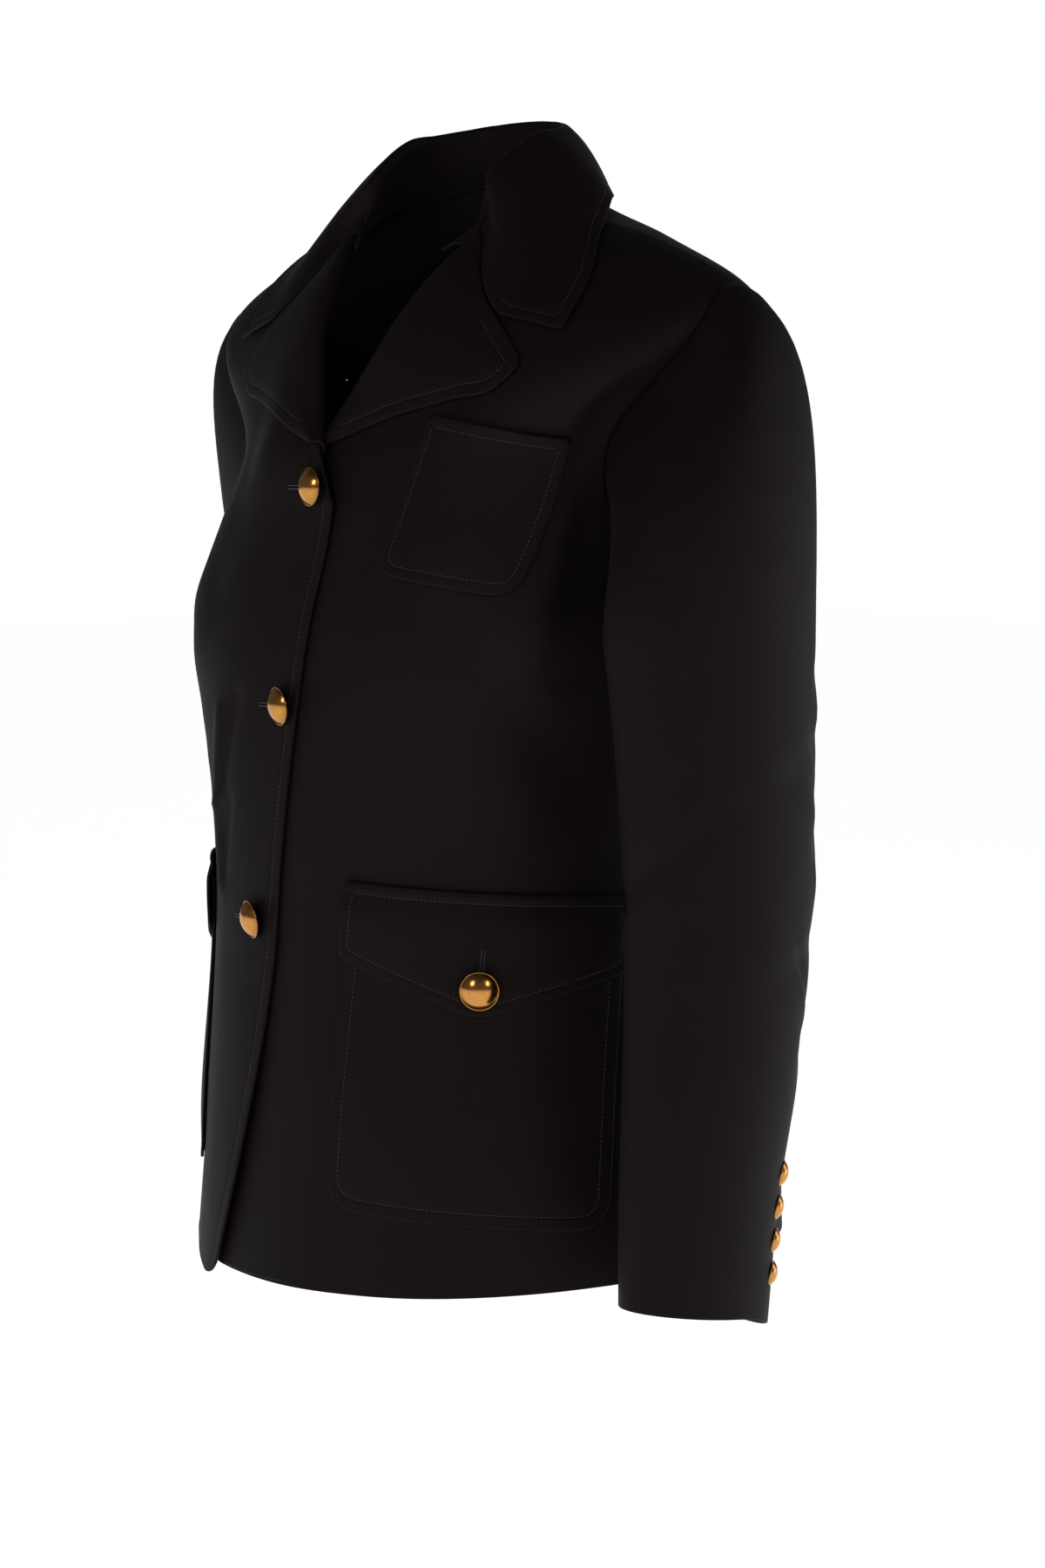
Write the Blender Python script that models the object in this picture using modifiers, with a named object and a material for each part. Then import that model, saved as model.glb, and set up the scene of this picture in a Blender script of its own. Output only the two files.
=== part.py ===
"""Single-breasted blazer as it is worn, hollow, built panel by panel.

Metres. +X is the wearer's left, -Y the front, +Z up. The origin is the middle of the neck,
level with the side of the neck seam. Every body panel is a piece of one smooth form.
A point on the form has a turn in degrees (0 centre front, 90 wearer's left, 180 centre
back, negative on the wearer's right) and a level, which is its height on the lower body.
"""
from collections import namedtuple
import math

import bmesh
import bpy
import mathutils
import numpy as np

# ---- driving sizes
WALL = 0.0020            # cloth with its interlining
SEAM_GAP = 0.0003        # between pieces that are sewn together
HEM = -0.610             # level of the hem
UNDERARM = -0.205        # level of the lowest point of the armhole
SHOULDER = -0.090        # level of the ring that crosses the shoulder tip
NECK = -0.030            # level of the ring that carries the collar
ROLL = 0.0               # level of the collar's fold
BREAK = -0.141           # height where the neck opening starts at the centre front
OVERLAP = 0.024          # how far each front passes the centre front
CORNER = 0.018           # radius of the rounded hem corners
ARMHOLE_TURN = 22.0      # half the armhole's width on the form, in degrees
SIDE_SEAM = 96.0         # turn of the side seam at the hem
BUTTON_HEIGHTS = (-0.163, -0.286, -0.410)
BUTTON_ACROSS = (-0.0080, -0.0118, -0.0034)   # toward the wearer's right from the centre front
LARGE_BUTTON = 0.0225
SMALL_BUTTON = 0.0150

Section = namedtuple("Section", "level front_z side_z back_z half_wide front_y side_y back_y square")
BODY = (
    Section(-0.610, -0.618, -0.606, -0.605, 0.186, -0.167, 0.012, 0.172, 2.10),
    Section(-0.520, -0.524, -0.520, -0.520, 0.177, -0.160, 0.008, 0.172, 2.10),
    Section(-0.410, -0.410, -0.410, -0.410, 0.163, -0.155, 0.000, 0.143, 2.05),
    Section(-0.365, -0.365, -0.365, -0.365, 0.160, -0.154, -0.002, 0.124, 2.15),
    Section(-0.300, -0.300, -0.300, -0.300, 0.163, -0.150, -0.008, 0.116, 2.50),
    Section(-0.235, -0.235, -0.235, -0.235, 0.172, -0.142, -0.013, 0.114, 3.00),
    Section(-0.205, -0.205, -0.205, -0.205, 0.170, -0.136, -0.012, 0.114, 2.90),
    Section(-0.148, -0.155, -0.130, -0.125, 0.172, -0.126, -0.008, 0.106, 2.50),
    Section(-0.090, -0.116, -0.048, -0.065, 0.2010, -0.112, 0.000, 0.082, 2.20),
    Section(-0.060, -0.088, -0.019, -0.019, 0.135, -0.103, -0.002, 0.066, 2.20),
    Section(-0.030, -0.060, 0.000, 0.016, 0.067, -0.093, 0.000, 0.050, 2.15),
    Section(0.000, -0.036, 0.039, 0.047, 0.052, -0.083, 0.002, 0.041, 2.10),
)

# the wearer's hips are turned from the shoulders, and the right arm is drawn back
RIGHT_DROP = 0.0055      # how much lower the right shoulder is worn
Pose = namedtuple("Pose", "z hip_turn right_back")
POSE = (
    Pose(-0.610, 11.0, 0.000),
    Pose(-0.410, 10.0, 0.000),
    Pose(-0.300, 6.0, 0.000),
    Pose(-0.235, 4.0, 0.003),
    Pose(-0.185, 2.0, 0.016),
    Pose(-0.130, 1.0, 0.030),
    Pose(-0.060, 0.0, 0.010),
    Pose(0.000, 0.0, 0.000),
)

# inner edge of a front, seen from the front: z, and x toward the panel's own side
Edge = namedtuple("Edge", "z x")
ROLL_LINE = (
    Edge(-0.170, -0.0225),
    Edge(-0.150, -0.0140),
    Edge(-0.137, -0.0050),
    Edge(-0.111, 0.0110),
    Edge(-0.082, 0.0250),
    Edge(-0.042, 0.0405),
    Edge(-0.016, 0.0525),
)
# how far each front swings away from its straight edge toward its own side, low down
SWING = {"right": 0.050, "left": -0.020}
SWING_TOP = -0.420

# outline of a lapel from the break up to the notch, seen from the front
Outline = namedtuple("Outline", "x z")
LAPEL_EDGE = (
    Outline(-0.004, -0.1420),
    Outline(0.020, -0.1340),
    Outline(0.050, -0.1230),
    Outline(0.090, -0.1130),
    Outline(0.119, -0.1050),
    Outline(0.1270, -0.0930),
    Outline(0.114, -0.0790),
    Outline(0.097, -0.0670),
)
GORGE = (
    Outline(0.0520, -0.0160),
    Outline(0.061, -0.0290),
    Outline(0.073, -0.0440),
    Outline(0.088, -0.0580),
    Outline(0.098, -0.0650),
    Outline(0.120, -0.0700),
    Outline(0.144, -0.0745),
)
NOTCH_SHARE = 0.52       # how far along the collar's front end the lapel meets it

# outer edge of the collar's leaf, from the front corner round to the centre back
Leaf = namedtuple("Leaf", "turn x y z")
LEAF_EDGE = (
    Leaf(36.0, 0.144, -0.0600, -0.0740),
    Leaf(50.0, 0.140, -0.0420, -0.0500),
    Leaf(66.0, 0.122, -0.0220, -0.0240),
    Leaf(84.0, 0.106, 0.0020, -0.0020),
    Leaf(110.0, 0.082, 0.0280, 0.0030),
    Leaf(140.0, 0.051, 0.0510, 0.0040),
    Leaf(180.0, 0.000, 0.0650, 0.0040),
)

Arm = namedtuple("Arm", "z x y_left y_right half_wide half_deep")
ARM = (
    Arm(-0.240, 0.228, -0.043, 0.074, 0.0460, 0.0690),
    Arm(-0.300, 0.232, -0.042, 0.086, 0.0435, 0.0660),
    Arm(-0.370, 0.234, -0.041, 0.094, 0.0420, 0.0630),
    Arm(-0.430, 0.235, -0.044, 0.098, 0.0405, 0.0600),
    Arm(-0.490, 0.235, -0.049, 0.096, 0.0385, 0.0570),
    Arm(-0.550, 0.233, -0.055, 0.090, 0.0355, 0.0520),
    Arm(-0.613, 0.231, -0.057, 0.082, 0.0330, 0.0490),
)
# soft folds of a sleeve: height, place round the sleeve, depth, half height and half width
Fold = namedtuple("Fold", "z around depth tall wide slope")
SLEEVE_FOLDS = (
    Fold(-0.150, 300.0, 0.0016, 0.012, 50.0, 0.0006),
    Fold(-0.290, 60.0, 0.0012, 0.010, 60.0, 0.0005),
    Fold(-0.335, 70.0, 0.0014, 0.009, 70.0, -0.0004),
    Fold(-0.375, 250.0, 0.0020, 0.009, 60.0, 0.0005),
    Fold(-0.405, 60.0, 0.0014, 0.010, 60.0, 0.0004),
    Fold(-0.470, 80.0, 0.0012, 0.012, 60.0, -0.0004),
)

# pockets on a front: distance along the cloth from the centre front, and height
Pocket = namedtuple("Pocket", "inner top wide tall tilt lean radius flare")
LOWER_POCKET = Pocket(0.078, -0.393, 0.161, 0.175, 0.050, 0.0, 0.022, 0.010)
LOWER_FLAP = Pocket(0.074, -0.381, 0.169, 0.043, 0.050, 0.0, 0.0, 0.0)
FLAP_POINT = 0.028       # how far the flap's point hangs below its corners
BREAST_POCKET = Pocket(0.081, -0.121, 0.090, 0.088, 0.130, 0.14, 0.016, 0.0)

CUFF_BUTTON_HEIGHTS = (-0.535, -0.552, -0.569, -0.586)
CUFF_BUTTON_AROUND = 51.0
BACK_SEAM = 67.5
FRONT_SEAM = 225.0

CLOTH = ("black cloth", (0.012, 0.012, 0.014, 1.0), 0.72, 0.0)
METAL = ("antique brass", (0.60, 0.40, 0.17, 1.0), 0.34, 1.0)


# ---- small helpers
def clear_scene():
    for thing in list(bpy.data.objects):
        bpy.data.objects.remove(thing, do_unlink=True)


def make_material(name, colour, roughness, metallic):
    material = bpy.data.materials.new(name)
    material.use_nodes = True
    shader = material.node_tree.nodes["Principled BSDF"]
    shader.inputs["Base Color"].default_value = colour
    shader.inputs["Roughness"].default_value = roughness
    shader.inputs["Metallic"].default_value = metallic
    return material


def smooth(rows, column, at):
    """A smooth curve through one column of a table, whose first column is its place."""
    place = np.array([row[0] for row in rows])
    value = np.array([getattr(row, column) for row in rows])
    step = np.diff(place)
    rise = np.diff(value) / step
    slope = np.empty(len(place))
    slope[1:-1] = (rise[:-1] * step[1:] + rise[1:] * step[:-1]) / (step[1:] + step[:-1])
    slope[0] = rise[0]
    slope[-1] = rise[-1]
    at = np.asarray(at, float)
    i = np.clip(np.searchsorted(place, at) - 1, 0, len(step) - 1)
    t = np.clip((at - place[i]) / step[i], 0.0, 1.0)
    beyond = at - place[i] - t * step[i]
    ends = np.where(beyond > 0, slope[-1], slope[0]) * beyond
    start = value[i] * (1 + 2 * t) * (1 - t) ** 2 + slope[i] * step[i] * t * (1 - t) ** 2
    end = value[i + 1] * t * t * (3 - 2 * t) - slope[i + 1] * step[i] * t * t * (1 - t)
    return start + end + ends


def smoothstep(low, high, at):
    t = np.clip((np.asarray(at, float) - low) / (high - low), 0.0, 1.0)
    return t * t * (3 - 2 * t)


def unit(vectors):
    return vectors / np.linalg.norm(vectors, axis=-1, keepdims=True)


def stack(*columns):
    return np.stack(np.broadcast_arrays(*columns), axis=-1)


def along(points, share):
    """Points at equal shares of a smooth line through a few points."""
    points = np.array(points, float)
    length = np.concatenate(([0.0], np.cumsum(np.linalg.norm(np.diff(points, axis=0), axis=1))))
    length /= length[-1]
    Row = namedtuple("Row", "share value")
    lines = [[Row(place, value) for place, value in zip(length, column)] for column in points.T]
    return np.stack([smooth(line, "value", share) for line in lines], axis=-1)


# ---- the form that the body panels lie on
def form(turn, level):
    """Outer face of the body before it is posed."""
    turn, level = np.broadcast_arrays(np.asarray(turn, float), np.asarray(level, float))
    row = {name: smooth(BODY, name, level) for name in Section._fields[1:]}
    across = np.sin(np.radians(turn))
    ahead = np.cos(np.radians(turn))
    reach = (abs(across) ** row["square"] + abs(ahead) ** row["square"]) ** (-1 / row["square"])
    share = ahead * reach
    end_y = np.where(share > 0, row["front_y"], row["back_y"])
    end_z = np.where(share > 0, row["front_z"], row["back_z"])
    x = row["half_wide"] * across * reach
    y = row["side_y"] + (end_y - row["side_y"]) * abs(share)
    z = row["side_z"] + (end_z - row["side_z"]) * abs(share) ** 1.5
    return stack(x, y, z)


def form_normal(turn, level):
    round_step = form(np.add(turn, 0.5), level) - form(np.subtract(turn, 0.5), level)
    up_step = form(turn, np.add(level, 0.001)) - form(turn, np.subtract(level, 0.001))
    return unit(np.cross(round_step, up_step))


def pose(points):
    """Turn the hips and draw the right arm back, as the garment is worn in the photo."""
    x, y, z = np.moveaxis(points, -1, 0)
    back = smooth(POSE, "right_back", z) * smoothstep(0.02, 0.17, -x)
    y = y + np.where((z < POSE[0].z) | (z > POSE[-1].z), 0.0, back)
    turn = np.radians(smooth(POSE, "hip_turn", np.clip(z, POSE[0].z, POSE[-1].z)))
    z = z - RIGHT_DROP * smoothstep(0.03, 0.19, -x) * smoothstep(-0.30, -0.14, z)
    return stack(x * np.cos(turn) + y * np.sin(turn), y * np.cos(turn) - x * np.sin(turn), z)


def turn_at_x(x, level):
    """Turn of the front point of a level that lies at this x."""
    square = smooth(BODY, "square", level)
    share = np.clip(abs(x) / smooth(BODY, "half_wide", level), 0.0, 0.999) ** square
    return np.degrees(np.arctan((share / (1 - share)) ** (1 / square))) * np.sign(x)


def place_front(x, z):
    """Turn and level of the front point seen at x, z from the front."""
    x, z = np.broadcast_arrays(np.asarray(x, float), np.asarray(z, float))
    low = np.full(x.shape, HEM)
    high = np.full(x.shape, ROLL + 0.02)
    for _ in range(40):
        level = (low + high) / 2
        below = form(turn_at_x(x, level), level)[..., 2] < z
        low = np.where(below, level, low)
        high = np.where(below, high, level)
    return turn_at_x(x, level), level


def place_along(distance, level):
    """Turn of the point this far along the cloth from the centre front."""
    turns = np.linspace(0.0, 130.0, 261)
    distance, level = np.broadcast_arrays(np.asarray(distance, float), np.asarray(level, float))
    found = np.empty(distance.size)
    for i, (far, height) in enumerate(zip(distance.ravel(), level.ravel())):
        line = form(turns, height)
        run = np.concatenate(([0.0], np.cumsum(np.linalg.norm(np.diff(line, axis=0), axis=1))))
        found[i] = np.interp(far, run, turns)
    return found.reshape(distance.shape)


def edge_x(side, z, level):
    """Inner edge of a front at a height: roll line, straight edge, then the rounded corner."""
    low = np.clip((SWING_TOP - level) / (SWING_TOP - HEM), 0.0, 1.0)
    straight = -OVERLAP + SWING[side] * low ** 1.6
    into = np.clip((HEM + CORNER - level) / CORNER, 0.0, 1.0)
    rounded = CORNER * (1 - np.sqrt(np.clip(1 - into ** 2, 0.0, 1.0)))
    return np.where(z < ROLL_LINE[0].z, np.maximum(straight, -OVERLAP - 0.020) + rounded,
                    np.maximum(smooth(ROLL_LINE, "x", z), -OVERLAP))


def edge_turn(side, level, inset=0.0):
    """Turn of a front's inner edge on one level."""
    turns = np.linspace(-20.0, 88.0, 541)
    line = form(turns, level)
    miss = line[:, 0] - edge_x(side, line[:, 2], level) - inset
    first = int(np.argmax(miss > 0))
    share = -miss[first - 1] / (miss[first] - miss[first - 1])
    return turns[first - 1] + share * (turns[first] - turns[first - 1])


def front_lift(side, x, z):
    """How far a front stands off the form; the right one passes over the left one."""
    if side == "left":
        return np.zeros(np.broadcast(x, z).shape)
    near = 1 - smoothstep(0.036, 0.090, x)
    at_break = 0.0054 * np.exp(-(((z - BREAK) / 0.030) ** 2))
    swing = 0.0060 * smoothstep(0.0, 1.0, (SWING_TOP - z) / (SWING_TOP - HEM))
    return (0.0030 + at_break) * near + swing * (1 - smoothstep(-0.02, 0.060, x))


def edge_dip(side, x, z):
    """How far the right front hangs lower toward its inner corner."""
    if side == "left":
        return np.zeros(np.broadcast(x, z).shape)
    low = smoothstep(0.0, 1.0, (SWING_TOP - z) / (SWING_TOP - HEM))
    return 0.0128 * low * (1 - smoothstep(0.0, 0.110, x))


# ---- cloth walls
def add_object(name, mesh, material):
    mesh.materials.append(material)
    mesh.shade_smooth()
    mesh.set_sharp_from_angle(angle=math.radians(50))
    thing = bpy.data.objects.new(name, mesh)
    garment.objects.link(thing)
    return thing


def cloth_wall(name, outer, inner):
    """A closed wall between two grids of points, turned right side out."""
    rows, columns = outer.shape[:2]
    points = np.concatenate((outer.reshape(-1, 3), inner.reshape(-1, 3)))
    back = rows * columns
    faces = []
    for i in range(rows - 1):
        for j in range(columns - 1):
            a = i * columns + j
            b, c, d = a + 1, a + columns + 1, a + columns
            short = np.linalg.norm(points[a] - points[c]) <= np.linalg.norm(points[b] - points[d])
            halves = ((a, b, c), (a, c, d)) if short else ((a, b, d), (b, c, d))
            for half in halves:
                faces.append(half)
                faces.append(tuple(back + corner for corner in reversed(half)))
    rim = list(range(columns))
    rim += [i * columns + columns - 1 for i in range(1, rows)]
    rim += [(rows - 1) * columns + j for j in range(columns - 2, -1, -1)]
    rim += [i * columns for i in range(rows - 2, 0, -1)]
    for a, b in zip(rim, rim[1:] + rim[:1]):
        faces.append((b, a, back + a, back + b))
    mesh = bpy.data.meshes.new(name)
    mesh.from_pydata(points.tolist(), [], faces)
    build = bmesh.new()
    build.from_mesh(mesh)
    bmesh.ops.recalc_face_normals(build, faces=build.faces)
    build.to_mesh(mesh)
    build.free()
    return add_object(name, mesh, cloth)


def body_panel(name, sign, turns, levels, lift, dip):
    """A panel of the body from a grid of turns and levels; sign mirrors it to the right."""
    points = form(turns, levels) - dip[..., None] * (0.0, 0.0, 1.0)
    normals = form_normal(turns, levels)
    outer = points + normals * lift[..., None]
    inner = outer - normals * WALL
    mirror = np.array((sign, 1.0, 1.0))
    return cloth_wall(name, pose(outer * mirror), pose(inner * mirror))


def armhole(share):
    """Turn offset from the side and level, going up one half of the armhole."""
    angle = np.pi * np.asarray(share, float)
    middle = (SHOULDER + UNDERARM) / 2
    half = (SHOULDER - UNDERARM) / 2
    return ARMHOLE_TURN * np.sin(angle), middle - half * np.cos(angle)


ARMHOLE_STEPS = 8
BODY_LEVELS = np.concatenate((
    HEM + CORNER * (1 - np.cos(np.radians((0, 25, 45, 65, 90)))),
    np.linspace(-0.555, UNDERARM, 14)[:-1]))
SHOULDER_LEVELS = np.linspace(SHOULDER, NECK, 4)[1:]


def panel_rows(half_gap_turn, front):
    """Level and outer turn of each row: side seam, armhole, then shoulder seam."""
    rows = []
    sign = -1 if front else 1
    for level in BODY_LEVELS:
        seam = 90 + (SIDE_SEAM - 90) * smoothstep(UNDERARM, UNDERARM - 0.12, level)
        rows.append((float(level), float(seam) + sign * half_gap_turn))
    for share in np.linspace(0, 1, ARMHOLE_STEPS + 1):
        wide, level = armhole(share)
        rows.append((float(level), 90 + sign * max(float(wide), half_gap_turn)))
    for level in SHOULDER_LEVELS:
        rows.append((float(level), 90 + sign * half_gap_turn))
    return rows


def make_front(side):
    sign = 1 if side == "left" else -1
    half_gap = math.degrees(SEAM_GAP / 2 / 0.15)
    rows = panel_rows(half_gap, True)
    columns = np.linspace(0.0, 1.0, 12)
    turns = []
    for level, outer_turn in rows:
        inset = 0.0024 * float(smoothstep(-0.165, BREAK, level))
        inner_turn = edge_turn(side, level, inset)
        turns.append(inner_turn + (outer_turn - inner_turn) * columns)
    turns = np.array(turns)
    levels = np.array([[level] * len(columns) for level, _ in rows])
    points = form(turns, levels)
    lift = front_lift(side, points[..., 0], points[..., 2])
    dip = edge_dip(side, points[..., 0], points[..., 2])
    body_panel("front_" + side, sign, turns, levels, lift, dip)


def make_back(side):
    sign = 1 if side == "left" else -1
    half_gap = math.degrees(SEAM_GAP / 2 / 0.15)
    rows = panel_rows(half_gap, False)
    columns = np.linspace(0.0, 1.0, 9)
    turns = np.array([turn + (180 - half_gap - turn) * columns for _, turn in rows])
    levels = np.array([[level] * len(columns) for level, _ in rows])
    flat = np.zeros(turns.shape)
    body_panel("back_" + side, sign, turns, levels, flat, flat)


# ---- collar and lapels
FOLD_RADIUS = 0.0032
GORGE_GAP = np.array((-0.0004, -0.0005))
GORGE_SHARES = np.linspace(0.0, NOTCH_SHARE, 8)[1:]


def collar_front_end(share, lift):
    """Points of the collar's front end, which lies over the front along the gorge."""
    flat = along([(p.x, p.z) for p in GORGE], share)
    turn, level = place_front(flat[..., 0], flat[..., 1])
    rise = lift + 0.0010 * np.sin(np.pi * share)
    return form(turn, level) + form_normal(turn, level) * rise[..., None]


def rest_on_form(points, clearance):
    """Move points out until they are this far above the form."""
    turns, levels = np.meshgrid(np.arange(0.0, 181.0, 2.0), np.linspace(-0.19, ROLL, 64))
    places = form(turns, levels).reshape(-1, 3)
    normals = form_normal(turns, levels).reshape(-1, 3)
    for _ in range(2):
        nearest = np.argmin(np.linalg.norm(points[:, None] - places[None], axis=-1), axis=1)
        above = np.sum((points - places[nearest]) * normals[nearest], axis=-1)
        push = np.clip(clearance - above, 0.0, 0.03)[:, None]
        points = points + normals[nearest] * push
    return points


def make_collar():
    """Stand, fold and leaf in one sheet, from one gorge seam round the back to the other."""
    quarter = np.concatenate((np.linspace(33.0, 90.0, 10), np.linspace(102.0, 180.0, 6)))
    stations = np.concatenate((quarter, 360 - quarter[-2::-1]))
    leaf_shares = np.concatenate((GORGE_SHARES, np.linspace(NOTCH_SHARE, 1.0, 4)[1:]))
    rows = []
    for station in stations:
        turn = station if station <= 180 else 360 - station
        sign = 1 if station <= 180 else -1
        outward = form_normal(turn, ROLL) * (1, 1, 0)
        outward = outward / np.linalg.norm(outward)
        heights = np.linspace(NECK + 0.0004, ROLL, 4)
        near_front = float(1 - smoothstep(33.0, 60.0, turn))
        heights = heights + near_front * (ROLL - 0.006 - heights) * 0.75
        stand = form(np.full(4, turn), heights) - form_normal(np.full(4, turn), heights) * WALL / 2
        rise = unit(stand[-1] - stand[0])
        centre = stand[-1] + outward * FOLD_RADIUS
        angles = np.radians((45, 90, 135, 180))[:, None]
        fold = centre + FOLD_RADIUS * (rise * np.sin(angles) - outward * np.cos(angles))
        place = max(turn, LEAF_EDGE[0].turn)
        edge = np.array([smooth(LEAF_EDGE, axis, place) for axis in ("x", "y", "z")])
        start = fold[-1]
        chord = edge - start
        away = unit(outward + np.array((0.0, 0.0, 0.8)))
        first = start + chord * 0.25 + away * 0.005
        second = start + chord * 0.70 + away * 0.004
        t = leaf_shares[:, None]
        leaf = (start * (1 - t) ** 3 + first * 3 * t * (1 - t) ** 2
                + second * 3 * t * t * (1 - t) + edge * t ** 3)
        rows.append((turn, sign, np.concatenate((stand, fold, leaf))))
    end_row = collar_front_end(np.concatenate(([0.0], leaf_shares)), 0.0034)
    first_row = rows[0][2][7:]
    shift = end_row - first_row
    fold_shift = shift[0]
    grid = []
    for turn, sign, line in rows:
        weight = float(1 - smoothstep(33.0, 66.0, turn))
        line = line.copy()
        line[7:] += shift * weight
        line[3:7] += fold_shift * weight
        line[:3] += fold_shift * weight * np.array((0.3, 0.5, 0.8))[:, None]
        line[8:] = rest_on_form(line[8:], 0.0034)
        grid.append(line * (sign, 1, 1))
    grid = np.array(grid)
    normals = unit(np.cross(np.gradient(grid, axis=0), np.gradient(grid, axis=1)))
    middle = len(stations) // 2
    if normals[middle, -1, 1] < 0:
        normals = -normals
    cloth_wall("collar", pose(grid + normals * WALL / 2), pose(grid - normals * WALL / 2))


def make_lapel(side):
    """The facing that shows: it wraps the roll line and lies over the front."""
    sign = 1 if side == "left" else -1
    shares = np.concatenate((np.linspace(0.03, 0.80, 11), np.linspace(0.86, 0.985, 4)))
    start_z = -0.125 if side == "left" else -0.143
    roll_z = start_z + (GORGE[0].z - 0.0078 - start_z) * shares
    roll_x = smooth(ROLL_LINE, "x", roll_z)
    outer_line = along([(p.x, p.z) for p in LAPEL_EDGE], shares)
    arc = np.radians((215.0, 180.0, 145.0, 115.0, 90.0))
    fold_d = FOLD_RADIUS + FOLD_RADIUS * np.cos(arc)
    fold_n = -WALL / 2 + FOLD_RADIUS * np.sin(arc)
    spread = GORGE_SHARES / NOTCH_SHARE
    outer_rows = []
    inner_rows = []
    gorge_flat = along([(p.x, p.z) for p in GORGE], GORGE_SHARES)
    for k, share in enumerate(shares):
        start = np.array((roll_x[k], roll_z[k]))
        run = outer_line[k] - start
        length = np.linalg.norm(run)
        run = run / length
        flat_d = fold_d[-1] + (length - fold_d[-1]) * spread
        flat_n = fold_n[-1] + 0.0012 * np.sin(np.pi * spread)
        d = np.concatenate((fold_d, flat_d))
        n = np.concatenate((fold_n, flat_n))
        path = np.stack((d, n), axis=-1)
        tangent = unit(np.gradient(path, axis=0))
        side_way = np.stack((-tangent[:, 1], tangent[:, 0]), axis=-1)
        weight = float(smoothstep(0.80, 1.0, share))
        for rows, offset in ((outer_rows, WALL / 2), (inner_rows, -WALL / 2)):
            moved = path + side_way * offset
            flat = start + run * moved[:, :1]
            straight = start + run * flat_d[:, None]
            flat[5:] += (gorge_flat + GORGE_GAP - straight) * weight
            x, z = flat.T
            turn, level = place_front(np.maximum(x, -0.03), z)
            lift = front_lift(side, x, z) + moved[:, 1]
            points = form(turn, level) + form_normal(turn, level) * lift[:, None]
            rows.append(points)
    mirror = np.array((sign, 1, 1))
    outer = pose(np.array(outer_rows) * mirror)
    cloth_wall("lapel_" + side, outer, pose(np.array(inner_rows) * mirror))


# ---- pockets and flaps
def patch(name, side, distance, height, low, high):
    """A sheet on a front, between two distances above the form."""
    sign = 1 if side == "left" else -1
    turn, level = place_patch(distance, height)
    points = form(turn, level)
    base = front_lift(side, points[..., 0], points[..., 2])[..., None]
    normals = form_normal(turn, level)
    mirror = np.array((sign, 1, 1))
    outer = pose((points + normals * (base + high)) * mirror)
    inner = pose((points + normals * (base + low)) * mirror)
    cloth_wall(name, outer, inner)


def place_patch(distance, height):
    """Turn and level this far along the cloth from the centre front, at this height."""
    level = np.array(height, float)
    for _ in range(5):
        turn = place_along(distance, level)
        level = level + height - form(turn, level)[..., 2]
    return turn, level


def pocket_grid(size, columns, rows):
    """Distances and heights of a pocket with rounded lower corners."""
    across = np.linspace(0.0, 1.0, columns)
    down = np.concatenate((np.linspace(0.0, 1 - size.radius / size.tall, rows - 3),
                           1 - size.radius / size.tall * (1 - np.sin(np.radians((30, 60, 90))))))
    into = np.clip((down - 1) * size.tall / size.radius + 1, 0.0, 1.0)
    trim = size.radius * (1 - np.sqrt(np.clip(1 - into ** 2, 0.0, 1.0)))
    distance = trim[:, None] + (size.wide - 2 * trim[:, None]) * across[None, :]
    height = size.top - down[:, None] * size.tall - size.tilt * distance
    lean = size.flare * down[:, None] * (across - 0.5) - size.lean * down[:, None] * size.tall
    return size.inner + lean + distance, height


def make_lower_pocket(side):
    distance, height = pocket_grid(LOWER_POCKET, 12, 11)
    patch("pocket_" + side, side, distance, height, 0.0003, 0.0021)


def make_flap(side):
    """Pointed flap over the mouth of a lower pocket."""
    across = np.linspace(0.0, 1.0, 11)
    down = np.array((0.0, 0.12, 0.4, 0.7, 1.0))
    size = LOWER_FLAP
    tall = size.tall + FLAP_POINT * (1 - abs(2 * across - 1))
    distance = np.broadcast_to(size.wide * across, (len(down), len(across)))
    height = size.top - down[:, None] * tall[None, :] - size.tilt * distance
    high = 0.0046 + 0.0010 * np.sin(np.pi * down)[:, None, None]
    low = np.where(down < 0.2, 0.0024, high[:, 0, 0] - WALL)[:, None, None]
    patch("flap_" + side, side, size.inner + distance, height, low, high)


def make_breast_pocket():
    distance, height = pocket_grid(BREAST_POCKET, 9, 9)
    patch("pocket_breast", "left", distance, height, 0.0017, 0.0034)


# ---- sleeves
def sleeve_ring(side, around, z):
    """Points of the hanging part of a sleeve; around 0 is outward and 90 is back."""
    sign = 1 if side == "left" else -1
    around, z = np.broadcast_arrays(np.asarray(around, float), np.asarray(z, float))
    ascending = ARM[::-1]
    read = {name: smooth(ascending, name, z) for name in Arm._fields[1:]}
    angle = np.radians(around)
    dent = np.zeros(around.shape)
    for fold in SLEEVE_FOLDS:
        off = (around - fold.around + 180) % 360 - 180
        height = (z - fold.z - fold.slope * off) / fold.tall
        dent += fold.depth * np.exp(-height ** 2) * np.exp(-(off / fold.wide) ** 2)
    x = read["x"] + (read["half_wide"] - dent) * np.cos(angle)
    y = read["y_" + side] + (read["half_deep"] - dent) * np.sin(angle)
    low_back = 0.0085 * np.maximum(np.sin(angle), 0.0) ** 2
    drop = (0.0015 - 0.0070 * np.sin(angle) - low_back) * smoothstep(-0.50, -0.613, z)
    return stack(sign * x, y, z + drop)


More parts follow.
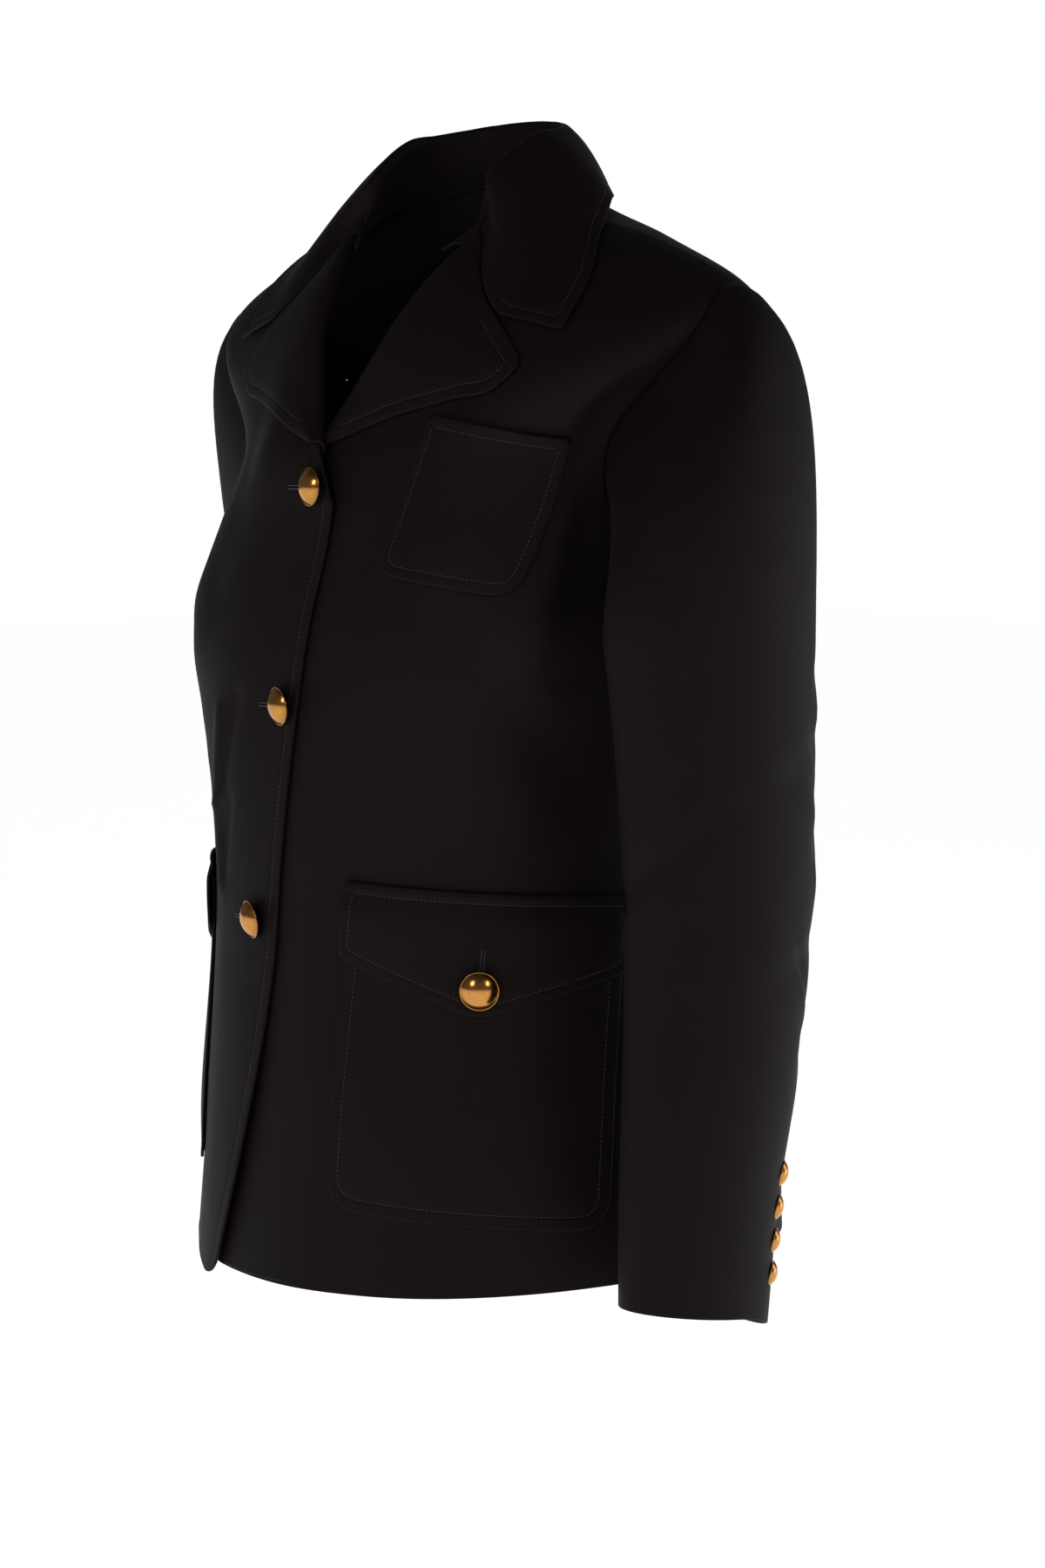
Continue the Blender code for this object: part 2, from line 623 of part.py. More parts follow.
def armhole_loop(side, around):
    """Armhole edge for each place round the sleeve, with the form's normal and the way in."""
    sign = 1 if side == "left" else -1
    around = np.asarray(around, float)
    share = np.abs((around + 180) % 360 - 180) / 180
    wide, level = armhole(1 - share)
    back = np.where((around % 360 > 0) & (around % 360 < 180), 1.0, -1.0)
    turn = 90 + back * wide
    mirror = np.array((sign, 1.0, 1.0))
    points = form(turn, level)
    normals = form_normal(turn, level)
    ahead = np.roll(points, -1, axis=0) - np.roll(points, 1, axis=0)
    inward = unit(np.cross(ahead, normals))
    middle = points.mean(axis=0)
    inward *= np.sign(np.sum(inward * (middle - points), axis=-1))[:, None]
    outer = points + inward * SEAM_GAP
    return (pose(outer * mirror), pose((outer - normals * WALL) * mirror),
            unit(pose((outer + inward * 0.001) * mirror) - pose(outer * mirror)))


def make_sleeve(side):
    """Top sleeve and under sleeve: cap from the armhole, then the hanging arm."""
    sign = 1 if side == "left" else -1
    columns = 2 * ARMHOLE_STEPS
    around = np.arange(columns) * 360.0 / columns
    edge, edge_inner, inward = armhole_loop(side, around)
    top = np.array([sleeve_ring(side, a, ARM[0].z) for a in around])
    middle = edge.mean(axis=0)
    radial = unit(edge - middle)
    leave = unit(np.array((sign * 0.71, 0.0, -0.56)) + radial * 0.40)
    reach = np.linalg.norm(top - edge, axis=-1)[:, None]
    first = edge + leave * (0.010 + 0.20 * reach)
    second = top + np.array((0.0, 0.0, 1.0)) * 0.42 * reach
    rings = []
    for t in (0.0, 0.08, 0.18, 0.32, 0.48, 0.66, 0.84):
        rings.append(edge * (1 - t) ** 3 + first * 3 * t * (1 - t) ** 2
                     + second * 3 * t * t * (1 - t) + top * t ** 3)
    for z in np.linspace(ARM[0].z, ARM[-1].z, 22):
        rings.append(sleeve_ring(side, around, z))
    rings = np.array(rings)
    wrapped = np.concatenate((rings[:, -1:], rings, rings[:, :1]), axis=1)
    normals = np.cross(np.gradient(wrapped, axis=1), np.gradient(wrapped, axis=0))[:, 1:-1]
    normals = unit(normals)
    centre = rings.mean(axis=1, keepdims=True)
    normals *= np.sign(np.sum(normals * (rings - centre), axis=-1).mean())
    into = -normals * WALL
    away = np.minimum(np.sum(into[0] * inward, axis=-1), 0.0)[:, None]
    into[0] = unit(into[0] - away * inward) * WALL
    inner = rings + into

    half_gap = 0.00045
    step = 360.0 / columns
    seam_back = int(round(BACK_SEAM / step))
    seam_front = int(round(FRONT_SEAM / step))
    spans = {"top": list(range(seam_front, columns + seam_back + 1)),
             "under": list(range(seam_back, seam_front + 1))}
    for part, span in spans.items():
        index = [i % columns for i in span]
        outer_part = rings[:, index].copy()
        inner_part = inner[:, index].copy()
        for grid in (outer_part, inner_part):
            for end, beside in ((0, 1), (-1, -2)):
                way = unit(grid[:, beside] - grid[:, end])
                grid[:, end] += way * half_gap
        cloth_wall(f"sleeve_{side}_{part}", outer_part, inner_part)


# ---- buttons
def button_mesh(diameter, standing):
    """A domed shank button, turned round +Z; its shank's foot is at z = 0."""
    radius = diameter / 2
    shank = 0.22 * radius
    profile = [(0.0, standing + 0.52 * radius)]
    for degrees in (65, 40, 18):
        angle = math.radians(degrees)
        profile.append((radius * math.cos(angle) * 0.93, standing + 0.10 * radius
                        + 0.42 * radius * math.sin(angle)))
    profile.append((radius, standing + 0.12 * radius))
    profile.append((radius, standing + 0.02 * radius))
    profile.append((radius * 0.82, standing - 0.05 * radius))
    profile.append((shank, standing - 0.05 * radius))
    profile.append((shank, 0.0))
    profile.append((0.0, 0.0))
    mesh = bpy.data.meshes.new("button profile")
    edges = [(i, i + 1) for i in range(len(profile) - 1)]
    mesh.from_pydata([(r, 0.0, z) for r, z in profile], edges, [])
    return mesh


def add_button(name, diameter, standing, foot, facing, droop=0.0):
    """Turn a button with Screw and set its foot on the cloth, looking along facing."""
    thing = bpy.data.objects.new(name, button_mesh(diameter, standing))
    garment.objects.link(thing)
    screw = thing.modifiers.new("turned", "SCREW")
    screw.axis = "Z"
    screw.steps = 16
    screw.render_steps = 16
    screw.use_merge_vertices = True
    screw.merge_threshold = 0.00005
    thing.data.materials.append(metal)
    way = mathutils.Vector(facing)
    way.z -= droop
    way.normalize()
    thing.location = mathutils.Vector(foot) + way * 0.0003
    thing.rotation_mode = "QUATERNION"
    thing.rotation_quaternion = way.to_track_quat("Z", "Y")
    return thing


def posed_spot(side, turn, level, height):
    """A posed point above a front, and the way it faces."""
    sign = 1 if side == "left" else -1
    mirror = np.array((sign, 1, 1))
    point = form(turn, level)
    normal = form_normal(turn, level)
    lift = float(front_lift(side, point[0], point[2])) + height
    low = pose((point + normal * lift) * mirror)
    high = pose((point + normal * (lift + 0.004)) * mirror)
    return low, unit(high - low)


def make_front_buttons():
    for name, x, z in zip(("top", "middle", "low"), BUTTON_ACROSS, BUTTON_HEIGHTS):
        turn, level = place_front(x, z)
        foot, facing = posed_spot("right", float(turn), float(level), 0.0)
        add_button("button_" + name, LARGE_BUTTON, 0.0030, foot, facing, 0.10)


def make_flap_button(side):
    distance = LOWER_FLAP.inner + LOWER_FLAP.wide / 2
    tip = LOWER_FLAP.top - LOWER_FLAP.tilt * LOWER_FLAP.wide / 2 - LOWER_FLAP.tall - FLAP_POINT
    level = tip + 0.017
    turn = float(place_along(distance, level))
    foot, facing = posed_spot(side, turn, level, 0.0058)
    add_button("button_flap_" + side, LARGE_BUTTON, 0.0030, foot, facing, 0.16)


def make_cuff_buttons(side):
    for number, z in enumerate(CUFF_BUTTON_HEIGHTS, start=1):
        foot = sleeve_ring(side, CUFF_BUTTON_AROUND, z)
        beside = sleeve_ring(side, np.array((-11.0, 11.0)) + CUFF_BUTTON_AROUND, z)
        facing = unit(np.cross(beside[1] - beside[0], (0, 0, 1.0)))
        centre = np.array((0.23 * np.sign(foot[0]), foot[1] - 0.03, foot[2]))
        facing *= np.sign(np.dot(facing, foot - centre))
        add_button(f"button_cuff_{side}_{number}", SMALL_BUTTON, 0.0019, foot, facing, 0.08)


clear_scene()
garment = bpy.data.collections.new("Blazer")
bpy.context.scene.collection.children.link(garment)
cloth = make_material(*CLOTH)
metal = make_material(*METAL)
for wearer_side in ("left", "right"):
    make_front(wearer_side)
    make_back(wearer_side)
    make_lapel(wearer_side)
    make_lower_pocket(wearer_side)
    make_flap(wearer_side)
    make_flap_button(wearer_side)
    make_sleeve(wearer_side)
    make_cuff_buttons(wearer_side)
make_breast_pocket()
make_collar()
make_front_buttons()
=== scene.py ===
"""Looks of the worn blazer: fine cloth sheets, sewing, buttons, materials, light and camera.

Metres. +X is the wearer's left, -Y the front, +Z up. The body panels lie on one smooth form.
A point on the form has a turn in degrees (0 centre front, 90 wearer's left, 180 centre back)
and a level, which is its height on the lower body; sign mirrors it to the wearer's right.
"""
from collections import namedtuple
import math

import bmesh
import bpy
import mathutils
import numpy as np
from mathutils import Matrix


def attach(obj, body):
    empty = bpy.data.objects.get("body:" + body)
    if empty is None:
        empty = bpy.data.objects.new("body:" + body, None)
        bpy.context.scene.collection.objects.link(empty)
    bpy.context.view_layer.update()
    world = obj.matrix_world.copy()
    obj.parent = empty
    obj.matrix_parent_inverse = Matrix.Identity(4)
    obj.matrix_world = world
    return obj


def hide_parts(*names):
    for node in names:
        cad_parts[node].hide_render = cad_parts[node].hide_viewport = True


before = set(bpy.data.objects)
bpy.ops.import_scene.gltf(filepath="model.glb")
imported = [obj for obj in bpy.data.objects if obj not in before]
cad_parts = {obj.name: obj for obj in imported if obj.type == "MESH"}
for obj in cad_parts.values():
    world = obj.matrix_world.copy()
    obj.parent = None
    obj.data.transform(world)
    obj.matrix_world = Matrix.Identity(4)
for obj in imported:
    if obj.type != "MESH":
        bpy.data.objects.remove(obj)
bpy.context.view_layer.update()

# ---- driving sizes, as in the CAD
SIGN = {"left": 1, "right": -1}
WALL = 0.0020
SEAM_GAP = 0.00002
HEM = -0.610
UNDERARM = -0.205
SHOULDER = -0.090
NECK = -0.030
ROLL = 0.0
BREAK = -0.141
OVERLAP = 0.024
CORNER = 0.018
ARMHOLE_TURN = 22.0
SIDE_SEAM = 96.0
BUTTON_HEIGHTS = (-0.163, -0.286, -0.410)
BUTTON_ACROSS = (-0.0080, -0.0118, -0.0034)
LARGE_BUTTON = 0.0225
SMALL_BUTTON = 0.0150


def table_of(kind, *values):
    """A table: one named tuple for each row of values."""
    return tuple(kind(*row) for row in values)


Section = namedtuple("Section", "level front_z side_z back_z half_wide front_y side_y back_y square")
BODY = table_of(
    Section, (-0.610, -0.618, -0.606, -0.605, 0.186, -0.167, 0.012, 0.172, 2.10),
    (-0.520, -0.524, -0.520, -0.520, 0.177, -0.160, 0.008, 0.172, 2.10),
    (-0.410, -0.410, -0.410, -0.410, 0.163, -0.155, 0.000, 0.143, 2.05),
    (-0.365, -0.365, -0.365, -0.365, 0.160, -0.154, -0.002, 0.124, 2.15),
    (-0.300, -0.300, -0.300, -0.300, 0.163, -0.150, -0.008, 0.116, 2.50),
    (-0.235, -0.235, -0.235, -0.235, 0.172, -0.142, -0.013, 0.114, 3.00),
    (-0.205, -0.205, -0.205, -0.205, 0.170, -0.136, -0.012, 0.114, 2.90),
    (-0.148, -0.155, -0.130, -0.125, 0.172, -0.126, -0.008, 0.106, 2.50),
    (-0.090, -0.116, -0.048, -0.065, 0.2010, -0.112, 0.000, 0.082, 2.20),
    (-0.060, -0.088, -0.019, -0.019, 0.135, -0.103, -0.002, 0.066, 2.20),
    (-0.030, -0.060, 0.000, 0.016, 0.067, -0.093, 0.000, 0.050, 2.15),
    (0.000, -0.036, 0.039, 0.047, 0.052, -0.083, 0.002, 0.041, 2.10),
)
RIGHT_DROP = 0.0055      # how much lower the right shoulder is worn
Pose = namedtuple("Pose", "z hip_turn right_back")
POSE = table_of(
    Pose, (-0.610, 11.0, 0.000), (-0.410, 10.0, 0.000), (-0.300, 6.0, 0.000), (-0.235, 4.0, 0.003),
    (-0.185, 2.0, 0.016), (-0.130, 1.0, 0.030), (-0.060, 0.0, 0.010), (0.000, 0.0, 0.000),
)
Edge = namedtuple("Edge", "z x")
ROLL_LINE = table_of(
    Edge, (-0.170, -0.0225), (-0.150, -0.0140), (-0.137, -0.0050), (-0.111, 0.0110), (-0.082, 0.0250),
    (-0.042, 0.0405), (-0.016, 0.0525),
)
SWING = {"right": 0.050, "left": -0.020}
SWING_TOP = -0.420
Outline = namedtuple("Outline", "x z")
LAPEL_EDGE = table_of(
    Outline, (-0.004, -0.1420), (0.020, -0.1340), (0.050, -0.1230), (0.090, -0.1130), (0.119, -0.1050),
    (0.1270, -0.0930), (0.114, -0.0790), (0.097, -0.0670),
)
GORGE = table_of(
    Outline, (0.0520, -0.0160), (0.061, -0.0290), (0.073, -0.0440), (0.088, -0.0580), (0.098, -0.0650),
    (0.120, -0.0700), (0.144, -0.0745),
)
NOTCH_SHARE = 0.52
Leaf = namedtuple("Leaf", "turn x y z")
LEAF_EDGE = table_of(
    Leaf, (36.0, 0.144, -0.0600, -0.0740), (50.0, 0.140, -0.0420, -0.0500),
    (66.0, 0.122, -0.0220, -0.0240), (84.0, 0.106, 0.0020, -0.0020), (110.0, 0.082, 0.0280, 0.0030),
    (140.0, 0.051, 0.0510, 0.0040), (180.0, 0.000, 0.0650, 0.0040),
)
Arm = namedtuple("Arm", "z x y_left y_right half_wide half_deep")
ARM = table_of(
    Arm, (-0.240, 0.228, -0.043, 0.074, 0.0460, 0.0690), (-0.300, 0.232, -0.042, 0.086, 0.0435, 0.0660),
    (-0.370, 0.234, -0.041, 0.094, 0.0420, 0.0630), (-0.430, 0.235, -0.044, 0.098, 0.0405, 0.0600),
    (-0.490, 0.235, -0.049, 0.096, 0.0385, 0.0570), (-0.550, 0.233, -0.055, 0.090, 0.0355, 0.0520),
    (-0.613, 0.231, -0.057, 0.082, 0.0330, 0.0490),
)
Fold = namedtuple("Fold", "z around depth tall wide slope")
SLEEVE_FOLDS = table_of(
    Fold, (-0.150, 300.0, 0.0016, 0.012, 50.0, 0.0006), (-0.290, 60.0, 0.0012, 0.010, 60.0, 0.0005),
    (-0.335, 70.0, 0.0014, 0.009, 70.0, -0.0004), (-0.375, 250.0, 0.0020, 0.009, 60.0, 0.0005),
    (-0.405, 60.0, 0.0014, 0.010, 60.0, 0.0004), (-0.470, 80.0, 0.0012, 0.012, 60.0, -0.0004),
)
Pocket = namedtuple("Pocket", "inner top wide tall tilt lean radius flare")
LOWER_POCKET = Pocket(0.078, -0.393, 0.161, 0.175, 0.050, 0.0, 0.022, 0.010)
LOWER_FLAP = Pocket(0.074, -0.381, 0.169, 0.043, 0.050, 0.0, 0.0, 0.0)
FLAP_POINT = 0.028
BREAST_POCKET = Pocket(0.081, -0.121, 0.090, 0.088, 0.130, 0.14, 0.016, 0.0)
CUFF_BUTTON_HEIGHTS = (-0.535, -0.552, -0.569, -0.586)
CUFF_BUTTON_AROUND = 51.0
BACK_SEAM = 67.5
FRONT_SEAM = 225.0

# ---- soft creases that the cloth has when worn: from one turn and level to another
Crease = namedtuple("Crease", "turn_a level_a turn_b level_b wide deep")
CREASES = table_of(
    Crease,
    # from the left bust to the side
    (40.0, -0.232, 68.0, -0.312, 0.020, -0.0036), (36.0, -0.205, 52.0, -0.215, 0.028, 0.0022),
    # beside the left armhole
    (62.0, -0.130, 68.0, -0.260, 0.015, -0.0036), (76.0, -0.250, 72.0, -0.330, 0.018, -0.0030),
    # under the right bust
    (-30.0, -0.225, -52.0, -0.262, 0.018, -0.0022), (-62.0, -0.130, -66.0, -0.260, 0.014, -0.0030),
    # waist of the right side
    (-12.5, -0.284, -17.5, -0.334, 0.0050, -0.0022), (-20.0, -0.296, -21.5, -0.346, 0.0065, 0.0026),
    (-13.5, -0.346, -15.5, -0.388, 0.0050, -0.0020), (-21.5, -0.352, -16.5, -0.398, 0.0060, 0.0022),
    (-40.0, -0.318, -70.0, -0.292, 0.009, -0.0020), (-38.0, -0.340, -72.0, -0.352, 0.009, -0.0020),
    # hem
    (30.0, -0.560, 28.0, -0.610, 0.024, -0.0018), (-32.0, -0.560, -30.0, -0.610, 0.024, -0.0018),
    # back, beside the armholes
    (118.0, -0.140, 112.0, -0.290, 0.016, -0.0030), (-118.0, -0.140, -112.0, -0.290, 0.016, -0.0030),
    # small of the back
    (140.0, -0.345, 168.0, -0.330, 0.012, -0.0024), (-140.0, -0.345, -168.0, -0.330, 0.012, -0.0024),
    (120.0, -0.500, 120.0, -0.625, 0.030, -0.0030), (-132.0, -0.430, -128.0, -0.610, 0.030, 0.0030),
)
FORM_RADIUS = 0.15       # turns a turn into a distance when a crease is measured

# distances of the grid's lines from a finished edge; stitching follows one of them
RIM = np.array((0.0, 0.00012, 0.0004, 0.0008, 0.0014, 0.0024, 0.0040, 0.0054, 0.0062, 0.0070,
                0.0078, 0.0092, 0.0115))
SEAM = np.array((0.0, 0.00012, 0.0004, 0.0008, 0.0014, 0.0030, 0.0060))
SPACING = 0.0045          # between the grid's lines away from the edges
STITCH_IN = 0.0070
STITCH_PITCH = 0.0027
STITCH_LONG = 0.0020
STITCH_WIDE = 0.00050
TROUGH_DEEP = 0.00032
TROUGH_WIDE = 0.0012


# ---- small helpers
def smooth(rows, column, at):
    """A smooth curve through one column of a table, whose first column is its place."""
    place = np.array([row[0] for row in rows])
    value = np.array([getattr(row, column) for row in rows])
    step = np.diff(place)
    rise = np.diff(value) / step
    slope = np.empty(len(place))
    slope[1:-1] = (rise[:-1] * step[1:] + rise[1:] * step[:-1]) / (step[1:] + step[:-1])
    slope[0] = rise[0]
    slope[-1] = rise[-1]
    at = np.asarray(at, float)
    i = np.clip(np.searchsorted(place, at) - 1, 0, len(step) - 1)
    t = np.clip((at - place[i]) / step[i], 0.0, 1.0)
    beyond = at - place[i] - t * step[i]
    ends = np.where(beyond > 0, slope[-1], slope[0]) * beyond
    start = value[i] * (1 + 2 * t) * (1 - t) ** 2 + slope[i] * step[i] * t * (1 - t) ** 2
    end = value[i + 1] * t * t * (3 - 2 * t) - slope[i + 1] * step[i] * t * t * (1 - t)
    return start + end + ends


def smoothstep(low, high, at):
    t = np.clip((np.asarray(at, float) - low) / (high - low), 0.0, 1.0)
    return t * t * (3 - 2 * t)


def spread(first, second):
    """Both as arrays of numbers of one shape."""
    return np.broadcast_arrays(np.asarray(first, float), np.asarray(second, float))


def unit(vectors):
    return vectors / np.maximum(np.linalg.norm(vectors, axis=-1, keepdims=True), 1e-12)


def stack(*columns):
    return np.stack(np.broadcast_arrays(*columns), axis=-1)


def lengths(points):
    """Distance of each point of a line from its first one, along the line."""
    return np.concatenate(([0.0], np.cumsum(np.linalg.norm(np.diff(points, axis=0), axis=1))))


def bend(start, first, second, end, t):
    """Points of a smooth curve from start to end, pulled toward first and second."""
    return (start * (1 - t) ** 3 + first * 3 * t * (1 - t) ** 2 + second * 3 * t * t * (1 - t)
            + end * t ** 3)


def make_finder(places):
    """Finds the nearest of these places."""
    finder = mathutils.kdtree.KDTree(len(places))
    for number, spot in enumerate(places):
        finder.insert(spot, number)
    finder.balance()
    return finder


def along(points, share):
    """Points at equal shares of a smooth line through a few points."""
    points = np.array(points, float)
    length = lengths(points)
    length /= length[-1]
    Row = namedtuple("Row", "share value")
    lines = [[Row(place, value) for place, value in zip(length, column)] for column in points.T]
    return np.stack([smooth(line, "value", share) for line in lines], axis=-1)


# ---- the form that the body panels lie on
def form(turn, level):
    turn, level = spread(turn, level)
    row = {name: smooth(BODY, name, level) for name in Section._fields[1:]}
    across = np.sin(np.radians(turn))
    ahead = np.cos(np.radians(turn))
    reach = (abs(across) ** row["square"] + abs(ahead) ** row["square"]) ** (-1 / row["square"])
    share = ahead * reach
    end_y = np.where(share > 0, row["front_y"], row["back_y"])
    end_z = np.where(share > 0, row["front_z"], row["back_z"])
    x = row["half_wide"] * across * reach
    y = row["side_y"] + (end_y - row["side_y"]) * abs(share)
    z = row["side_z"] + (end_z - row["side_z"]) * abs(share) ** 1.5
    return stack(x, y, z)


def form_normal(turn, level):
    round_step = form(np.add(turn, 0.5), level) - form(np.subtract(turn, 0.5), level)
    up_step = form(turn, np.add(level, 0.001)) - form(turn, np.subtract(level, 0.001))
    return unit(np.cross(round_step, up_step))


def pose(points):
    """Turn the hips and draw the right arm back, as the garment is worn in the photo."""
    x, y, z = np.moveaxis(points, -1, 0)
    back = smooth(POSE, "right_back", z) * smoothstep(0.02, 0.17, -x)
    y = y + np.where((z < POSE[0].z) | (z > POSE[-1].z), 0.0, back)
    turn = np.radians(smooth(POSE, "hip_turn", np.clip(z, POSE[0].z, POSE[-1].z)))
    z = z - RIGHT_DROP * smoothstep(0.03, 0.19, -x) * smoothstep(-0.30, -0.14, z)
    return stack(x * np.cos(turn) + y * np.sin(turn), y * np.cos(turn) - x * np.sin(turn), z)


def turn_at_x(x, level):
    square = smooth(BODY, "square", level)
    share = np.clip(abs(x) / smooth(BODY, "half_wide", level), 0.0, 0.999) ** square
    return np.degrees(np.arctan((share / (1 - share)) ** (1 / square))) * np.sign(x)


def place_front(x, z):
    """Turn and level of the front point seen at x, z from the front."""
    x, z = spread(x, z)
    low = np.full(x.shape, HEM)
    high = np.full(x.shape, ROLL + 0.02)
    for _ in range(40):
        level = (low + high) / 2
        below = form(turn_at_x(x, level), level)[..., 2] < z
        low = np.where(below, level, low)
        high = np.where(below, high, level)
    return turn_at_x(x, level), level


RUN_TURNS = np.linspace(0.0, 130.0, 521)
RUN_LEVELS = np.linspace(HEM - 0.01, -0.08, 266)
run_points = form(RUN_TURNS[None, :], RUN_LEVELS[:, None])
run_steps = np.linalg.norm(np.diff(run_points, axis=1), axis=-1)
RUN = np.concatenate((np.zeros((len(RUN_LEVELS), 1)), np.cumsum(run_steps, axis=1)), axis=1)


def run_at(turn, level):
    """Distance along the cloth from the centre front to a turn on a level."""
    i = (level - RUN_LEVELS[0]) / (RUN_LEVELS[1] - RUN_LEVELS[0])
    j = turn / (RUN_TURNS[1] - RUN_TURNS[0])
    i0 = np.clip(np.floor(i).astype(int), 0, len(RUN_LEVELS) - 2)
    j0 = np.clip(np.floor(j).astype(int), 0, len(RUN_TURNS) - 2)
    s, t = i - i0, j - j0
    low = RUN[i0, j0] * (1 - t) + RUN[i0, j0 + 1] * t
    high = RUN[i0 + 1, j0] * (1 - t) + RUN[i0 + 1, j0 + 1] * t
    return low * (1 - s) + high * s


def place_patch(distance, height):
    """Turn and level this far along the cloth from the centre front, at this height."""
    level = np.array(height, float)
    for _ in range(6):
        low = np.zeros(level.shape)
        high = np.full(level.shape, RUN_TURNS[-1])
        for _ in range(26):
            turn = (low + high) / 2
            short = run_at(turn, level) < distance
            low = np.where(short, turn, low)
            high = np.where(short, high, turn)
        level = level + height - form(turn, level)[..., 2]
    return turn, level


def edge_x(side, z, level):
    low = np.clip((SWING_TOP - level) / (SWING_TOP - HEM), 0.0, 1.0)
    straight = -OVERLAP + SWING[side] * low ** 1.6
    into = np.clip((HEM + CORNER - level) / CORNER, 0.0, 1.0)
    rounded = CORNER * (1 - np.sqrt(np.clip(1 - into ** 2, 0.0, 1.0)))
    return np.where(z < ROLL_LINE[0].z, np.maximum(straight, -OVERLAP - 0.020) + rounded,
                    np.maximum(smooth(ROLL_LINE, "x", z), -OVERLAP))


def edge_turn(side, level, inset=0.0):
    turns = np.linspace(-20.0, 88.0, 541)
    line = form(turns, level)
    miss = line[:, 0] - edge_x(side, line[:, 2], level) - inset
    first = int(np.argmax(miss > 0))
    share = -miss[first - 1] / (miss[first] - miss[first - 1])
    return turns[first - 1] + share * (turns[first] - turns[first - 1])


LAP_LIFT = 0.0030        # how far the right front lies over the left one
BREAK_LIFT = 0.0054      # and how much more beside the end of the roll line
SWING_LIFT = 0.0060      # and toward its hem, where it swings open
CORNER_DIP = 0.0128      # how much lower its inner hem corner hangs


def front_lift(side, x, z):
    """How far a front stands off the form; the right one passes over the left one."""
    if side == "left":
        return np.zeros(np.broadcast(x, z).shape)
    near = 1 - smoothstep(0.036, 0.090, x)
    at_break = BREAK_LIFT * np.exp(-(((z - BREAK) / 0.030) ** 2))
    swing = SWING_LIFT * smoothstep(0.0, 1.0, (SWING_TOP - z) / (SWING_TOP - HEM))
    return (LAP_LIFT + at_break) * near + swing * (1 - smoothstep(-0.02, 0.060, x))


def edge_dip(side, x, z):
    """How far the right front hangs lower toward its inner corner."""
    if side == "left":
        return np.zeros(np.broadcast(x, z).shape)
    low = smoothstep(0.0, 1.0, (SWING_TOP - z) / (SWING_TOP - HEM))
    return CORNER_DIP * low * (1 - smoothstep(0.0, 0.110, x))


def relief(turn, level):
    """How far the creases move the cloth out of the form; the turn is the wearer's own."""
    turn, level = spread(turn, level)
    across = np.radians(turn) * FORM_RADIUS
    total = np.zeros(turn.shape)
    for crease in CREASES:
        ax, bx = math.radians(crease.turn_a) * FORM_RADIUS, math.radians(crease.turn_b) * FORM_RADIUS
        dx, dz = bx - ax, crease.level_b - crease.level_a
        t = np.clip(((across - ax) * dx + (level - crease.level_a) * dz) / (dx * dx + dz * dz), 0, 1)
        far2 = (across - ax - t * dx) ** 2 + (level - crease.level_a - t * dz) ** 2
        total += crease.deep * np.exp(-far2 / crease.wide ** 2)
    return total * smoothstep(0.018, 0.036, abs(across)) * smoothstep(0.0, 1.8, 180 - abs(turn))


FACING_STEP = 0.004      # how far out the second point lies that shows the way cloth faces


def worn(side, points, normals, lift):
    """Points this far above the form, mirrored and posed, and the way that they face."""
    mirror = np.array((SIGN[side], 1.0, 1.0))
    low = pose((points + normals * lift[..., None]) * mirror)
    high = pose((points + normals * (lift + FACING_STEP)[..., None]) * mirror)
    return low, unit(high - low)


def on_front(side, turn, level, height):
    """Posed point this far above the outer face of a front, and the way it faces."""
    point = form(turn, level)
    lift = front_lift(side, point[..., 0], point[..., 2]) + relief(SIGN[side] * turn, level)
    return worn(side, point, form_normal(turn, level), lift + height)


# ---- meshes
def make_object(name, points, faces, material, uv=None):
    mesh = bpy.data.meshes.new(name)
    mesh.from_pydata([tuple(p) for p in points], [], faces)
    if uv is not None:
        layer = mesh.uv_layers.new(name="cloth")
        corner = np.empty(len(mesh.loops), int)
        mesh.loops.foreach_get("vertex_index", corner)
        layer.data.foreach_set("uv", np.asarray(uv, float)[corner].ravel())
    build = bmesh.new()
    build.from_mesh(mesh)
    bmesh.ops.recalc_face_normals(build, faces=build.faces)
    build.to_mesh(mesh)
    build.free()
    mesh.materials.append(material)
    mesh.shade_smooth()
    thing = bpy.data.objects.new(name, mesh)
    bpy.context.scene.collection.objects.link(thing)
    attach(thing, "root")
    return thing


def make_closed(name, points, faces, uv):
    """A closed piece of cloth, without the points that no face uses."""
    used = np.zeros(len(points), bool)
    used[np.array(faces).ravel()] = True
    renumber = np.cumsum(used) - 1
    return make_object(name, points[used], renumber[np.array(faces)].tolist(), cloth, uv[used])


def rounding(edge):
    """How far a face falls back from its full height near the edge of a sheet, 0 to 1."""
    t = np.clip(edge / (WALL / 2), 0.0, 1.0)
    return 1 - np.sqrt(1 - (1 - t) ** 2)


